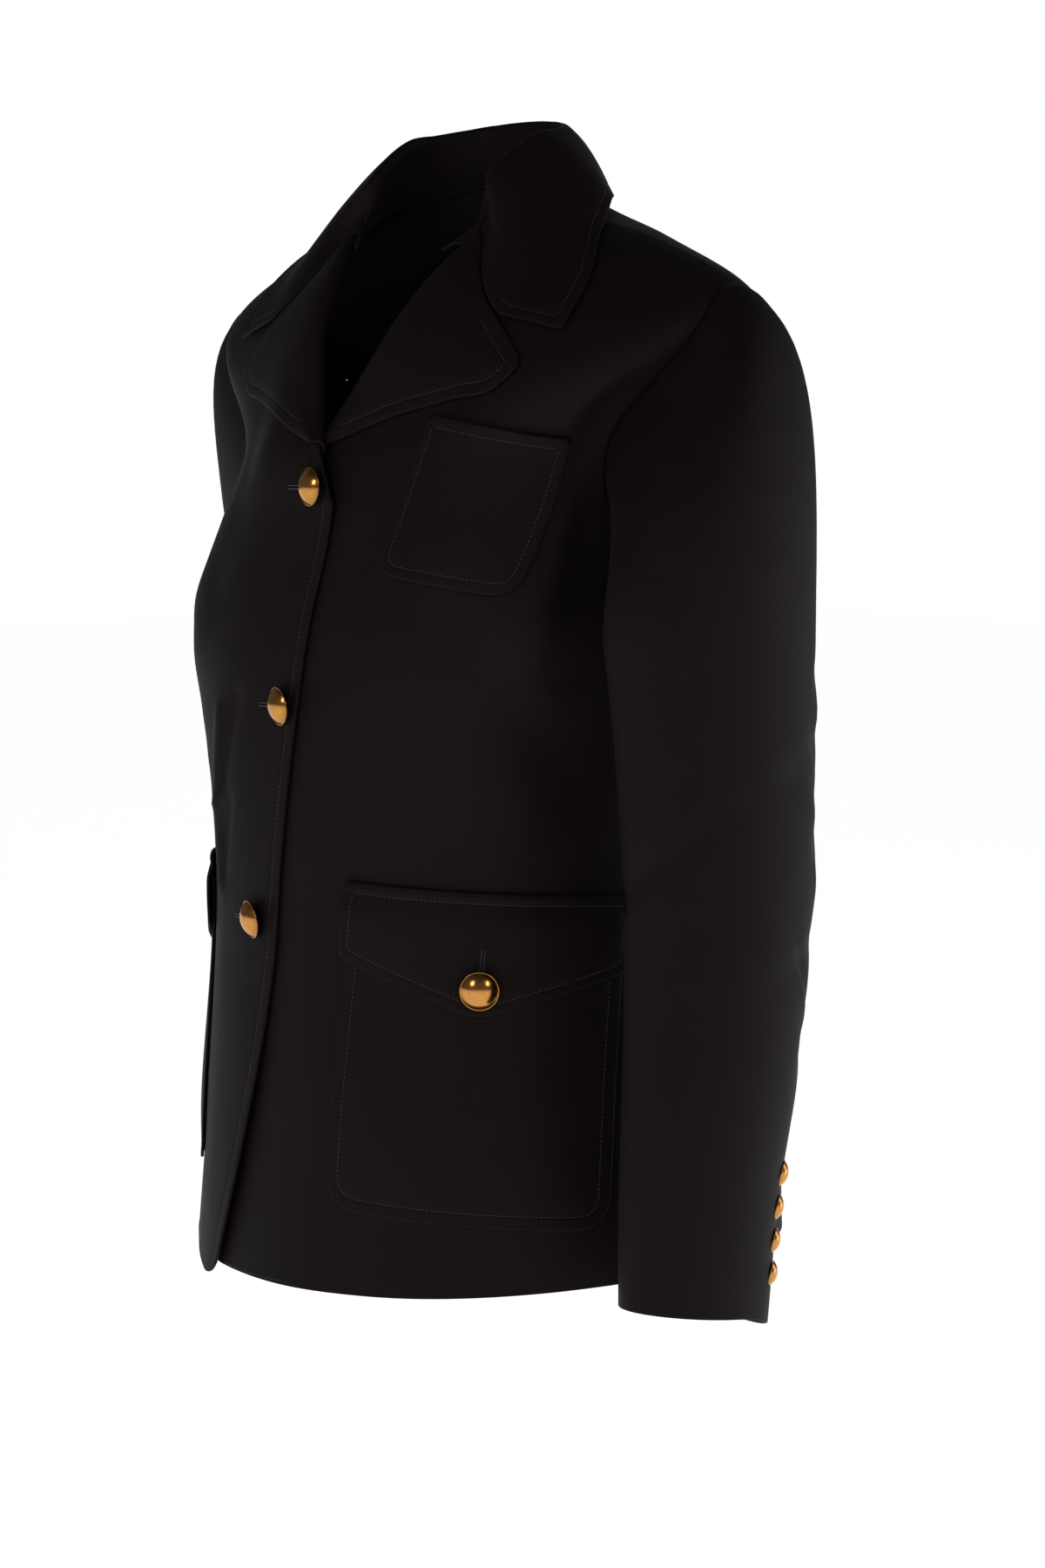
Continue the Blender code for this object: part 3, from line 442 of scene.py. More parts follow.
def resample(grid, axis, start, end, kept=()):
    """Lay the grid's lines again: at set distances from both ends, evenly between.

    kept are the numbers of lines that stay as they are, such as those through a corner.
    """
    if kept:
        grid = np.moveaxis(grid, axis, 0)
        cuts = [0, *kept, len(grid) - 1]
        plain = np.zeros(1)
        parts = []
        for k in range(len(cuts) - 1):
            first = start if k == 0 else plain
            last = end if k == len(cuts) - 2 else plain
            part = resample(grid[cuts[k]:cuts[k + 1] + 1], 0, first, last)
            parts.append(part if k == 0 else part[1:])
        return np.moveaxis(np.concatenate(parts), 0, axis)
    grid = np.moveaxis(grid, axis, 0)
    step = np.linalg.norm(np.diff(grid[..., :3], axis=0), axis=-1)
    run = np.concatenate((np.zeros((1, grid.shape[1])), np.cumsum(step, axis=0)))
    middle = max(int(round(run[-1].max() / SPACING)), 4)
    lines = []
    for j in range(grid.shape[1]):
        total = run[-1, j]
        first = start * min(1.0, 0.4 * total / max(start[-1], 1e-9))
        last = end * min(1.0, 0.4 * total / max(end[-1], 1e-9))
        between = np.linspace(first[-1], total - last[-1], middle + 1)[1:-1]
        at = np.concatenate((first, between, total - last[::-1]))
        lines.append(np.stack([np.interp(at, run[:, j], grid[:, j, k])
                               for k in range(grid.shape[2])], axis=-1))
    return np.moveaxis(np.stack(lines, axis=1), 0, axis)


def runs(grid, axis):
    """Distance of each point from both ends of its line along an axis."""
    step = np.linalg.norm(np.diff(grid[..., :3], axis=axis), axis=-1)
    run = np.cumsum(step, axis=axis)
    zero = np.zeros_like(np.take(run, [0], axis=axis))
    run = np.concatenate((zero, run), axis=axis)
    return run, np.take(run, [-1], axis=axis) - run


def close_grid(name, outer, inner, uv):
    """One closed mesh of two faces that share their rim."""
    rows, columns = outer.shape[:2]
    index = np.arange(rows * columns).reshape(rows, columns)
    inside = index + rows * columns
    for rim in (np.s_[0], np.s_[-1]):
        inside[rim] = index[rim]
        inside[:, rim] = index[:, rim]
    points = np.concatenate((outer.reshape(-1, 3), inner.reshape(-1, 3)))
    faces = []
    for grid, turned in ((index, False), (inside, True)):
        a, b, c, d = grid[:-1, :-1], grid[:-1, 1:], grid[1:, 1:], grid[1:, :-1]
        loop = np.stack((a, d, c, b) if turned else (a, b, c, d), axis=-1).reshape(-1, 4)
        faces += loop.tolist()
    return make_closed(name, points, faces, np.concatenate((uv.reshape(-1, 2), uv.reshape(-1, 2))))


def make_sheet(name, grid, ends, stitched=(), kept=()):
    """A cloth sheet from a grid of points and normals on its outer face, with rounded edges.

    ends gives the lines near the low and high end of the rows and of the columns. stitched
    gives the ends that carry a row of stitches, how far in it lies, and how far from the
    columns' high end it runs, or None for all the way. Returns the object, and the grid of
    its outer face with its normals and distances, for the stitching.
    """
    row_low, row_high, column_low, column_high = ends
    grid = resample(grid, 1, column_low, column_high)
    grid = resample(grid, 0, row_low, row_high, kept)
    points = grid[..., :3]
    normals = grid[..., 3:6]
    across, across_back = runs(grid, 1)
    up, up_back = runs(grid, 0)
    far = {"row_low": up, "row_high": up_back, "column_low": across, "column_high": across_back}
    edge = np.minimum.reduce(list(far.values()))
    fall = rounding(edge) * WALL / 2
    trough = np.zeros(edge.shape)
    for end, inset, reach in stitched:
        inside = smoothstep(-0.002, 0.0, edge - inset)
        if reach:
            inside = inside * smoothstep(reach + 0.002, reach - 0.002, far["column_high"])
        line = TROUGH_DEEP * np.exp(-((far[end] - inset) / TROUGH_WIDE) ** 2) * inside
        trough = np.maximum(trough, line)
    outer = points - normals * (fall + trough)[..., None]
    inner = points - normals * (WALL - fall)[..., None]
    uv = stack(across - across.mean(axis=1, keepdims=True), up)
    piece = close_grid(name, outer, inner, uv)
    return piece, {"points": outer, "normals": normals, **far}


def path_at(sheet, end, inset):
    """Points and normals of the line at this distance from one end of a sheet."""
    axis = 0 if end.startswith("row") else 1
    far = np.moveaxis(sheet[end], axis, 0)
    points = np.moveaxis(sheet["points"], axis, 0)
    normals = np.moveaxis(sheet["normals"], axis, 0)
    k = int(np.argmin(np.abs(np.median(far, axis=1) - inset)))
    return points[k], normals[k]


# ---- stitches
stitches = {"points": [], "faces": []}
STITCH_AROUND = 6


def add_stitch(start, end, normal, wide, high):
    """One stitch: a thread that rises out of the cloth, lies on it and dips back."""
    way = unit(end - start)
    side = np.cross(way, normal)
    base = len(stitches["points"])
    for t, size, rise in ((0.0, 0.35, -0.5), (0.12, 0.85, 0.2), (0.5, 1.0, 0.55),
                          (0.88, 0.85, 0.2), (1.0, 0.35, -0.5)):
        centre = start + (end - start) * t + normal * rise * high
        for k in range(STITCH_AROUND):
            angle = 2 * math.pi * k / STITCH_AROUND
            stitches["points"].append(centre + side * math.cos(angle) * wide / 2 * size
                                      + normal * math.sin(angle) * high / 2 * size)
    for ring in range(4):
        for k in range(STITCH_AROUND):
            a = base + ring * STITCH_AROUND + k
            b = base + ring * STITCH_AROUND + (k + 1) % STITCH_AROUND
            stitches["faces"].append((a, b, b + STITCH_AROUND, a + STITCH_AROUND))
    stitches["faces"].append(tuple(base + k for k in reversed(range(STITCH_AROUND))))
    stitches["faces"].append(tuple(base + 4 * STITCH_AROUND + k for k in range(STITCH_AROUND)))


def sew(points, normals, skip_start=0.0, skip_end=0.0):
    """A row of stitches along a line of points on the cloth."""
    run = lengths(points)
    if run[-1] < skip_start + skip_end + STITCH_PITCH:
        return
    starts = np.arange(skip_start, run[-1] - skip_end - STITCH_LONG, STITCH_PITCH)
    for s in starts:
        place = [np.array([np.interp(s + d, run, points[:, k]) for k in range(3)])
                 for d in (0.0, STITCH_LONG)]
        normal = unit(np.array([np.interp(s + STITCH_LONG / 2, run, normals[:, k]) for k in range(3)]))
        add_stitch(place[0], place[1], normal, STITCH_WIDE, STITCH_WIDE * 0.7)


def finish_stitches(name):
    """Make one piece of the stitches gathered so far."""
    thing = make_object(name, stitches["points"], stitches["faces"], thread)
    stitches.update(points=[], faces=[])


# ---- materials
def node(tree, kind, place, **values):
    made = tree.nodes.new("ShaderNode" + kind)
    made.location = place
    for key, value in values.items():
        if key in made.inputs:
            made.inputs[key].default_value = value
        else:
            setattr(made, key, value)
    return made


def new_material(name, **values):
    material = bpy.data.materials.new(name)
    material.use_nodes = True
    shader = material.node_tree.nodes["Principled BSDF"]
    for key, value in values.items():
        shader.inputs[key.replace("_", " ")].default_value = value
    return material, material.node_tree, shader


def wire(tree, *joints):
    """Join outputs of nodes to inputs of others."""
    for source, output, target, entry in joints:
        tree.links.new(source.outputs[output], target.inputs[entry])


def make_cloth():
    """Fine twill: near-black, with a soft sheen and a slight unevenness."""
    material, tree, shader = new_material("black cloth", IOR=1.17, Sheen_Weight=0.012,
                                          Sheen_Roughness=0.42, Sheen_Tint=(0.62, 0.58, 0.60, 1.0))
    uv = node(tree, "UVMap", (-1300, 0), uv_map="cloth")
    place = node(tree, "TexCoord", (-1300, -300))
    twill = node(tree, "TexWave", (-1000, 100), wave_type="BANDS",
                 bands_direction="DIAGONAL", Scale=900.0, Distortion=0.6, Detail=1.0)
    yarn = node(tree, "TexNoise", (-1000, -150), Scale=1400.0, Detail=2.0)
    slub = node(tree, "TexNoise", (-1000, -400), Scale=46.0, Detail=3.0)
    hang = node(tree, "TexNoise", (-1000, -650), Scale=14.0, Detail=1.0)
    wire(tree, (uv, "UV", twill, "Vector"), (uv, "UV", yarn, "Vector"),
         (place, "Object", slub, "Vector"), (place, "Object", hang, "Vector"))
    weave = node(tree, "Math", (-760, 0), operation="MULTIPLY_ADD")
    weave.inputs[1].default_value = 0.6
    wire(tree, (twill, "Fac", weave, 0), (yarn, "Fac", weave, 2))
    tint = node(tree, "MixRGB", (-520, 200), Color1=(0.0061, 0.0038, 0.0034, 1),
                Color2=(0.0110, 0.0072, 0.0065, 1))
    wire(tree, (weave, 0, tint, "Fac"))
    shade = node(tree, "MixRGB", (-300, 200), blend_type="MULTIPLY", Fac=0.35)
    wire(tree, (tint, 0, shade, "Color1"), (slub, "Fac", shade, "Color2"),
         (shade, 0, shader, "Base Color"))
    rough = node(tree, "MapRange", (-520, -100), **{"To Min": 0.60 - 0.05, "To Max": 0.60 + 0.07})
    wire(tree, (slub, "Fac", rough, "Value"), (rough, 0, shader, "Roughness"))
    fine = node(tree, "Bump", (-520, -300), Strength=0.16, Distance=0.00025)
    soft = node(tree, "Bump", (-260, -300), Strength=0.10, Distance=0.006)
    wire(tree, (weave, 0, fine, "Height"), (hang, "Fac", soft, "Height"), (fine, 0, soft, "Normal"),
         (soft, 0, shader, "Normal"))
    return material


def make_thread():
    material, tree, shader = new_material("black thread", Roughness=0.42)
    place = node(tree, "TexCoord", (-700, 0))
    ply = node(tree, "TexNoise", (-500, 0), Scale=2500.0, Detail=1.0)
    tint = node(tree, "MixRGB", (-260, 0), Color1=(0.015, 0.0135, 0.013, 1.0),
                Color2=(0.034, 0.031, 0.030, 1.0))
    wire(tree, (place, "Object", ply, "Vector"), (ply, "Fac", tint, "Fac"),
         (tint, 0, shader, "Base Color"))
    return material


def make_brass():
    """Aged gold-coloured brass with random tarnish and fine rubbed marks; painted shade darkens it
    toward the rim.
    """
    material, tree, shader = new_material("antique brass", Metallic=1.0)
    place = node(tree, "TexCoord", (-1200, 0))
    rim = node(tree, "Attribute", (-1200, -300), attribute_name="rim")
    tarnish = node(tree, "TexNoise", (-1000, 100), Scale=210.0, Detail=5.0, Roughness=0.6)
    marks = node(tree, "TexNoise", (-1000, -100), Scale=1500.0, Detail=3.0)
    wire(tree, (place, "Object", tarnish, "Vector"), (place, "Object", marks, "Vector"))
    tint = node(tree, "MixRGB", (-700, 150), Color1=(0.66, 0.325, 0.088, 1.0),
                Color2=(0.42, 0.185, 0.042, 1.0))
    wire(tree, (tarnish, "Fac", tint, "Fac"))
    # painted shade: darkens the brass by the rim attribute, toward the dome's edge and the back plate's
    # rim
    rim_shade = node(tree, "MixRGB", (-450, 150), Color2=(0.10, 0.045, 0.012, 1.0))
    wire(tree, (rim, "Fac", rim_shade, "Fac"), (tint, 0, rim_shade, "Color1"), (rim_shade, 0, shader, "Base Color"))
    rough = node(tree, "MapRange", (-450, -100), **{"To Min": 0.12, "To Max": 0.27})
    wire(tree, (marks, "Fac", rough, "Value"), (rough, 0, shader, "Roughness"))
    bump = node(tree, "Bump", (-450, -300), Strength=0.10, Distance=0.0002)
    wire(tree, (tarnish, "Fac", bump, "Height"), (bump, 0, shader, "Normal"))
    return material


cloth = make_cloth()
thread = make_thread()
brass = make_brass()

# ---- the cut of each sheet, as far as it shows: width, length and area when laid flat
CUTS = {
    "front_left": (0.345, 0.710, 0.1665, "hung"),
    "front_right": (0.300, 0.710, 0.1625, "hung"),
    "back_left": (0.265, 0.710, 0.1450, "hung"),
    "back_right": (0.265, 0.710, 0.1450, "hung"),
    "sleeve_left_top": (0.260, 0.590, 0.1010, "hung"),
    "sleeve_left_under": (0.195, 0.540, 0.0650, "hung"),
    "sleeve_right_top": (0.255, 0.590, 0.1000, "hung"),
    "sleeve_right_under": (0.190, 0.560, 0.0670, "hung"),
    "collar": (0.480, 0.120, 0.0400, "folded"),
    "lapel_left": (0.130, 0.125, 0.0095, "folded"),
    "lapel_right": (0.140, 0.125, 0.0097, "folded"),
    "pocket_breast": (0.100, 0.098, 0.0085, "laid"),
    "pocket_left": (0.170, 0.182, 0.0296, "laid"),
    "pocket_right": (0.170, 0.182, 0.0296, "laid"),
    "flap_left": (0.169, 0.074, 0.0102, "hung"),
    "flap_right": (0.169, 0.074, 0.0102, "hung"),
}


def declare(piece, name):
    """Hide the CAD node that this sheet replaces, and read its cut from CUTS."""
    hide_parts(name)
    wide, long, area, held = CUTS[name]


# ---- body panels
HALF_GAP_TURN = math.degrees(SEAM_GAP / 2 / FORM_RADIUS)
ARMHOLE_ROWS = (169, 233)    # the rows of panel_lines at the underarm and at the shoulder tip


def panel_lines(front):
    """Level and outer turn of dense rows: side seam, armhole, then shoulder seam."""
    lines = []
    sign = -1 if front else 1
    low = np.concatenate((HEM + CORNER * (1 - np.cos(np.radians(np.arange(0, 90, 4.5)))),
                          np.linspace(HEM + CORNER, UNDERARM, 150)[:-1]))
    for level in low:
        seam = 90 + (SIDE_SEAM - 90) * smoothstep(UNDERARM, UNDERARM - 0.12, level)
        lines.append((float(level), float(seam) + sign * HALF_GAP_TURN))
    for share in np.linspace(0, 1, 65):
        angle = math.pi * share
        middle, half = (SHOULDER + UNDERARM) / 2, (SHOULDER - UNDERARM) / 2
        wide = ARMHOLE_TURN * math.sin(angle)
        lines.append((middle - half * math.cos(angle), 90 + sign * max(wide, HALF_GAP_TURN)))
    for level in np.linspace(SHOULDER, NECK, 22)[1:]:
        lines.append((float(level), 90 + sign * HALF_GAP_TURN))
    return lines


def panel_grid(side, turns, lines, lifted):
    """The worn points of a front or back and the way they face; each line has one level."""
    levels = np.array([[level] * turns.shape[1] for level, _ in lines])
    points = form(turns, levels)
    normals = form_normal(turns, levels)
    lift = relief(SIGN[side] * turns, levels)
    if lifted:
        lift = lift + front_lift(side, points[..., 0], points[..., 2])
        points = points - edge_dip(side, points[..., 0], points[..., 2])[..., None] * (0.0, 0.0, 1.0)
    return np.concatenate(worn(side, points, normals, lift), axis=-1)


HEM_SEWN = (0.012, 0.085)    # where the stitching along a front's hem starts and ends


def make_front(side):
    columns = np.linspace(0.0, 1.0, 121)
    lines = panel_lines(True)
    turns = []
    for level, outer_turn in lines:
        inset = 0.0024 * float(smoothstep(-0.165, BREAK, level))
        inset += 0.0110 * float(smoothstep(-0.058, -0.036, level))
        inner_turn = edge_turn(side, level, inset)
        turns.append(inner_turn + (outer_turn - inner_turn) * columns)
    grid = panel_grid(side, np.array(turns), lines, True)
    piece, sheet = make_sheet(f"front_{side}_cloth", grid, (RIM, SEAM, RIM, SEAM),
                              [("column_low", STITCH_IN, None)], ARMHOLE_ROWS)
    declare(piece, "front_" + side)
    points, normals = path_at(sheet, "column_low", STITCH_IN)
    keep = (points[:, 2] < BREAK - 0.004) & (points[:, 2] > HEM + 0.004)
    sew(points[keep], normals[keep])
    points, normals = path_at(sheet, "row_low", STITCH_IN)
    run = lengths(points)
    keep = (run > HEM_SEWN[0]) & (run < HEM_SEWN[1])
    sew(points[keep], normals[keep])


def make_back(side):
    columns = np.linspace(0.0, 1.0, 101)
    lines = panel_lines(False)
    turns = np.array([turn + (180 - HALF_GAP_TURN - turn) * columns for _, turn in lines])
    grid = panel_grid(side, turns, lines, False)
    piece, _ = make_sheet(f"back_{side}_cloth", grid, (RIM, SEAM, SEAM, SEAM), (), ARMHOLE_ROWS)
    declare(piece, "back_" + side)


# ---- collar
FOLD_RADIUS = 0.0032
LEAF_LIFT = 0.0026       # the leaf's middle above the form of the fronts and backs
END_SEWN = 0.050         # how far its stitching runs up the leaf's two ends
GORGE_GAP = np.array((-0.0004, -0.0005))
COLLAR_TACK = ((-0.0555, -0.0500, -0.0170), (-0.0484, -0.0494, -0.0122))
TACK_CORD = 0.0012       # radius of the cord that closes the collar's right end


def collar_front_end(share, lift):
    flat = along([(p.x, p.z) for p in GORGE], share)
    turn, level = place_front(flat[..., 0], flat[..., 1])
    rise = lift + 0.0010 * np.sin(np.pi * share)
    return form(turn, level) + form_normal(turn, level) * rise[..., None]


rest_turns, rest_levels = np.meshgrid(np.arange(0.0, 181.0, 1.0), np.linspace(-0.17, ROLL, 100))
REST_PLACES = form(rest_turns, rest_levels).reshape(-1, 3)
REST_NORMALS = form_normal(rest_turns, rest_levels).reshape(-1, 3)
REST_TREE = make_finder(REST_PLACES)


def rest_on_form(points, clearance):
    for _ in range(2):
        nearest = [REST_TREE.find(p)[1] for p in points]
        above = np.sum((points - REST_PLACES[nearest]) * REST_NORMALS[nearest], axis=-1)
        push = np.clip(clearance - above, 0.0, 0.03)[:, None]
        points = points + REST_NORMALS[nearest] * push
    return points


def relax(grid, times):
    """Even out a grid's points a little, but keep its rim."""
    for _ in range(times):
        middle = grid[1:-1, 1:-1]
        around = (grid[:-2, 1:-1] + grid[2:, 1:-1] + grid[1:-1, :-2] + grid[1:-1, 2:]) / 4
        grid[1:-1, 1:-1] = middle + (around - middle) * 0.5
    return grid


def tack_collar():
    """The short cord that closes the fold at the collar's right end."""
    start, end = np.array(COLLAR_TACK)
    facing = np.array((0.72, -0.69, 0.0))
    across = unit(np.cross(end - start, facing))
    angles = np.radians(np.arange(0.0, 360.0, 45.0))[:, None]
    ring = TACK_CORD * (facing * np.cos(angles) + across * np.sin(angles))
    sides = [(k, (k + 1) % 8, (k + 1) % 8 + 8, k + 8) for k in range(8)]
    ends = [tuple(range(7, -1, -1)), tuple(range(8, 16))]
    piece = make_object("stitches_collar_tack", np.concatenate((start + ring, end + ring)),
                        sides + ends, cloth)


def make_collar():
    """Stand, fold and leaf in one sheet, from one gorge seam round the back to the other."""
    tack_collar()
    quarter = np.concatenate((np.linspace(33.0, 90.0, 58), np.linspace(92.0, 180.0, 45)))
    stations = np.concatenate((quarter, 360 - quarter[-2::-1]))
    stand_steps, fold_steps = 12, 10
    leaf_shares = np.linspace(0.0, 1.0, 41)[1:]
    rows = []
    for station in stations:
        turn = station if station <= 180 else 360 - station
        sign = 1 if station <= 180 else -1
        outward = form_normal(turn, ROLL) * (1, 1, 0)
        outward = outward / np.linalg.norm(outward)
        heights = np.linspace(NECK + 0.0004, ROLL, stand_steps)
        near_front = float(1 - smoothstep(33.0, 60.0, turn))
        heights = heights + near_front * (ROLL - 0.006 - heights) * 0.75
        round_turn = np.full(stand_steps, turn)
        stand = form(round_turn, heights) - form_normal(round_turn, heights) * WALL / 2
        rise = unit(stand[-1] - stand[0])
        centre = stand[-1] + outward * FOLD_RADIUS
        angles = np.radians(np.linspace(0.0, 180.0, fold_steps + 1)[1:])[:, None]
        fold = centre + FOLD_RADIUS * (rise * np.sin(angles) - outward * np.cos(angles))
        place = max(turn, LEAF_EDGE[0].turn)
        edge = np.array([smooth(LEAF_EDGE, axis, place) for axis in ("x", "y", "z")])
        start = fold[-1]
        chord = edge - start
        away = unit(outward + np.array((0.0, 0.0, 0.8)))
        first = start + chord * 0.25 + away * 0.005
        second = start + chord * 0.70 + away * 0.004
        leaf = bend(start, first, second, edge, leaf_shares[:, None])
        rows.append((turn, sign, np.concatenate((stand, fold, leaf))))
    top = stand_steps + fold_steps - 1
    end_row = collar_front_end(np.concatenate(([0.0], leaf_shares)), LEAF_LIFT)
    shift = end_row - rows[0][2][top:]
    grid = []
    for turn, sign, line in rows:
        weight = float(1 - smoothstep(33.0, 66.0, turn))
        line = line.copy()
        line[top:] += shift * weight
        line[stand_steps - 1:top] += shift[0] * weight
        ease = np.interp(np.linspace(0, 1, stand_steps - 1), (0.0, 0.45, 0.9), (0.3, 0.5, 0.8))
        line[:stand_steps - 1] += shift[0] * weight * ease[:, None]
        line[top + 1:] = rest_on_form(line[top + 1:], LEAF_LIFT)
        grid.append(line * (sign, 1, 1))
    grid = relax(np.array(grid), 14)
    middle = len(stations) // 2
    normals = unit(np.cross(np.gradient(grid, axis=0), np.gradient(grid, axis=1)))
    if normals[middle, -1, 1] < 0:
        normals = -normals
    low = pose(grid + normals * WALL / 2)
    grid = np.concatenate((low, unit(low - pose(grid - normals * WALL / 2))), axis=-1)
    sewn = [("column_high", STITCH_IN, None), ("row_low", STITCH_IN, END_SEWN),
            ("row_high", STITCH_IN, END_SEWN)]
    piece, sheet = make_sheet("collar_cloth", grid, (RIM, RIM, SEAM, RIM), sewn)
    declare(piece, "collar")
    points, normals = path_at(sheet, "column_high", STITCH_IN)
    sew(points, normals, STITCH_IN, STITCH_IN)
    for end in ("row_low", "row_high"):
        points, normals = path_at(sheet, end, STITCH_IN)
        run = lengths(points)
        keep = (run > run[-1] - END_SEWN) & (run < run[-1] - STITCH_IN)
        sew(points[keep], normals[keep])


# ---- sheets cut to an outline: lapels, pockets and flaps
def rounded(corners, radii, spacing):
    """An even closed line round a few corners, each eased by its own radius."""
    corners = np.array(corners, float)
    line = []
    for k, corner in enumerate(corners):
        back = unit(corners[k - 1] - corner)
        ahead = unit(corners[(k + 1) % len(corners)] - corner)
        t = np.linspace(0.0, 1.0, 12)[:, None]
        start, end = corner + back * radii[k], corner + ahead * radii[k]
        line.append(start * (1 - t) ** 2 + corner * 2 * t * (1 - t) + end * t ** 2)
    return even_line(np.concatenate(line), spacing)


def even_line(line, spacing):
    """A closed line laid again with even steps, without its last point."""
    line = np.concatenate((line, line[:1]))
    run = lengths(line)
    at = np.linspace(0.0, run[-1], int(round(run[-1] / spacing)) + 1)[:-1]
    return np.stack([np.interp(at, run, column) for column in line.T], axis=-1)


def inward_of(line):
    ahead = np.roll(line, -1, axis=0) - np.roll(line, 1, axis=0)
    return unit(np.stack((-ahead[:, 1], ahead[:, 0]), axis=-1))


def distance_to(points, line):
    """Distance of each flat point from a closed line."""
    start, end = line, np.roll(line, -1, axis=0)
    way = end - start
    off = points[:, None] - start[None]
    t = np.clip(np.sum(off * way, axis=-1) / np.sum(way * way, axis=-1), 0.0, 1.0)
    return np.linalg.norm(off - t[..., None] * way, axis=-1).min(axis=1)


def inside_of(points, line):
    x, z = points[:, :1], points[:, 1:]
    ax, az = line[:, 0], line[:, 1]
    bx, bz = np.roll(ax, -1), np.roll(az, -1)
    crosses = ((az > z) != (bz > z)) & (x < (bx - ax) * (z - az) / np.where(bz == az, 1, bz - az) + ax)
    return crosses.sum(axis=1) % 2 == 1


def make_patch(name, outline, place, half, sign, sewn=()):
    """A sheet cut to a closed outline, which runs anticlockwise.

    place gives the posed middle of the sheet for flat points and their distance from the edge.
    half is half the sheet's thickness. sewn holds an inset and a test of where its line runs.
    """
    inward = inward_of(outline)
    flat = [outline]
    for inset in RIM[1:]:
        moved = outline + inward * inset
        flat.append(moved[distance_to(moved, outline) > inset * 0.985])
    low, high = outline.min(axis=0), outline.max(axis=0)
    x, z = np.meshgrid(np.arange(low[0], high[0], SPACING), np.arange(low[1], high[1], SPACING))
    x = x + (np.arange(x.shape[0]) % 2)[:, None] * SPACING / 2
    lattice = np.stack((x.ravel(), z.ravel()), axis=-1)
    deep = (distance_to(lattice, outline) > RIM[-1] + SPACING * 0.4) & inside_of(lattice, outline)
    flat = np.concatenate(flat + [lattice[deep]])
    made = mathutils.geometry.delaunay_2d_cdt([mathutils.Vector(p) for p in flat], [],
                                              [list(range(len(outline)))], 1, 1e-7)
    flat = np.array([tuple(p) for p in made[0]])
    faces = np.array([list(face) for face in made[2]])
    edge = distance_to(flat, outline)
    middle = place(flat, edge)
    a, b, c = (middle[faces[:, k]] for k in range(3))
    across = np.cross(b - a, c - a)
    normals = np.zeros(middle.shape)
    for k in range(3):
        np.add.at(normals, faces[:, k], across)
    normals = unit(normals) * sign
    t = np.clip(edge / half, 0.0, 1.0)
    thick = half * np.sqrt(1 - (1 - t) ** 2)
    trough = np.zeros(len(flat))
    for inset, runs_here in sewn:
        line = TROUGH_DEEP * np.exp(-((edge - inset) / TROUGH_WIDE) ** 2)
        trough = np.maximum(trough, np.where(runs_here(flat), line, 0.0))
    outer = middle + normals * (thick - trough)[:, None]
    inner = middle - normals * thick[:, None]
    on_rim = edge < 1e-6
    inside = np.where(on_rim, np.arange(len(flat)), np.arange(len(flat)) + len(flat))
    loops = faces.tolist() + inside[faces][:, ::-1].tolist()
    piece = make_closed(name, np.concatenate((outer, inner)), loops, np.concatenate((flat, flat)))
    finder = make_finder([(x, z, 0.0) for x, z in flat])
    for inset, runs_here in sewn:
        line = outline + inward * inset
        keep = (distance_to(line, outline) > inset * 0.97) & runs_here(line)
        first = int(np.argmin(keep)) if not keep.all() else 0
        line, keep = np.roll(line, -first, axis=0), np.roll(keep, -first)
        index = np.array([finder.find((p[0], p[1], 0.0))[1] for p in line])
        stretch = []
        for number, here in zip(index, keep):
            if here:
                stretch.append(number)
            if stretch and (not here or number == index[-1]):
                sew(outer[stretch], normals[stretch])
                stretch = []
    return piece


# ---- lapels
ROLL_TOP = GORGE[0].z - 0.0030
NOTCH_Z = -0.0604
LAPEL_START = {"left": -0.125, "right": -0.143}
FOLD_BACK = FOLD_RADIUS * math.radians(125.0)   # how far the cloth runs round the fold, unrolled


def roll_line(low, high, count):
    """Flat points of the roll line, the way along it and the way off it, over the front."""
    z = np.linspace(low, high, count)
    line = np.stack((smooth(ROLL_LINE, "x", z), z), axis=-1)
    way = unit(np.gradient(line, axis=0))
    return line, way, np.stack((way[:, 1], -way[:, 0]), axis=-1)


def roll_frame(flat, start_z):
    """For flat points: the nearest point of the roll line, the way off it and the distance."""
    line, way, off = roll_line(start_z - 0.02, ROLL_TOP + 0.02, 240)
    gap = flat[:, None] - line[None]
    nearest = np.argmin(np.linalg.norm(gap, axis=-1), axis=1)
    slide = np.sum((flat - line[nearest]) * way[nearest], axis=-1)
    foot = line[nearest] + way[nearest] * slide[:, None]
    return foot, off[nearest], np.sum((flat - foot) * off[nearest], axis=-1)


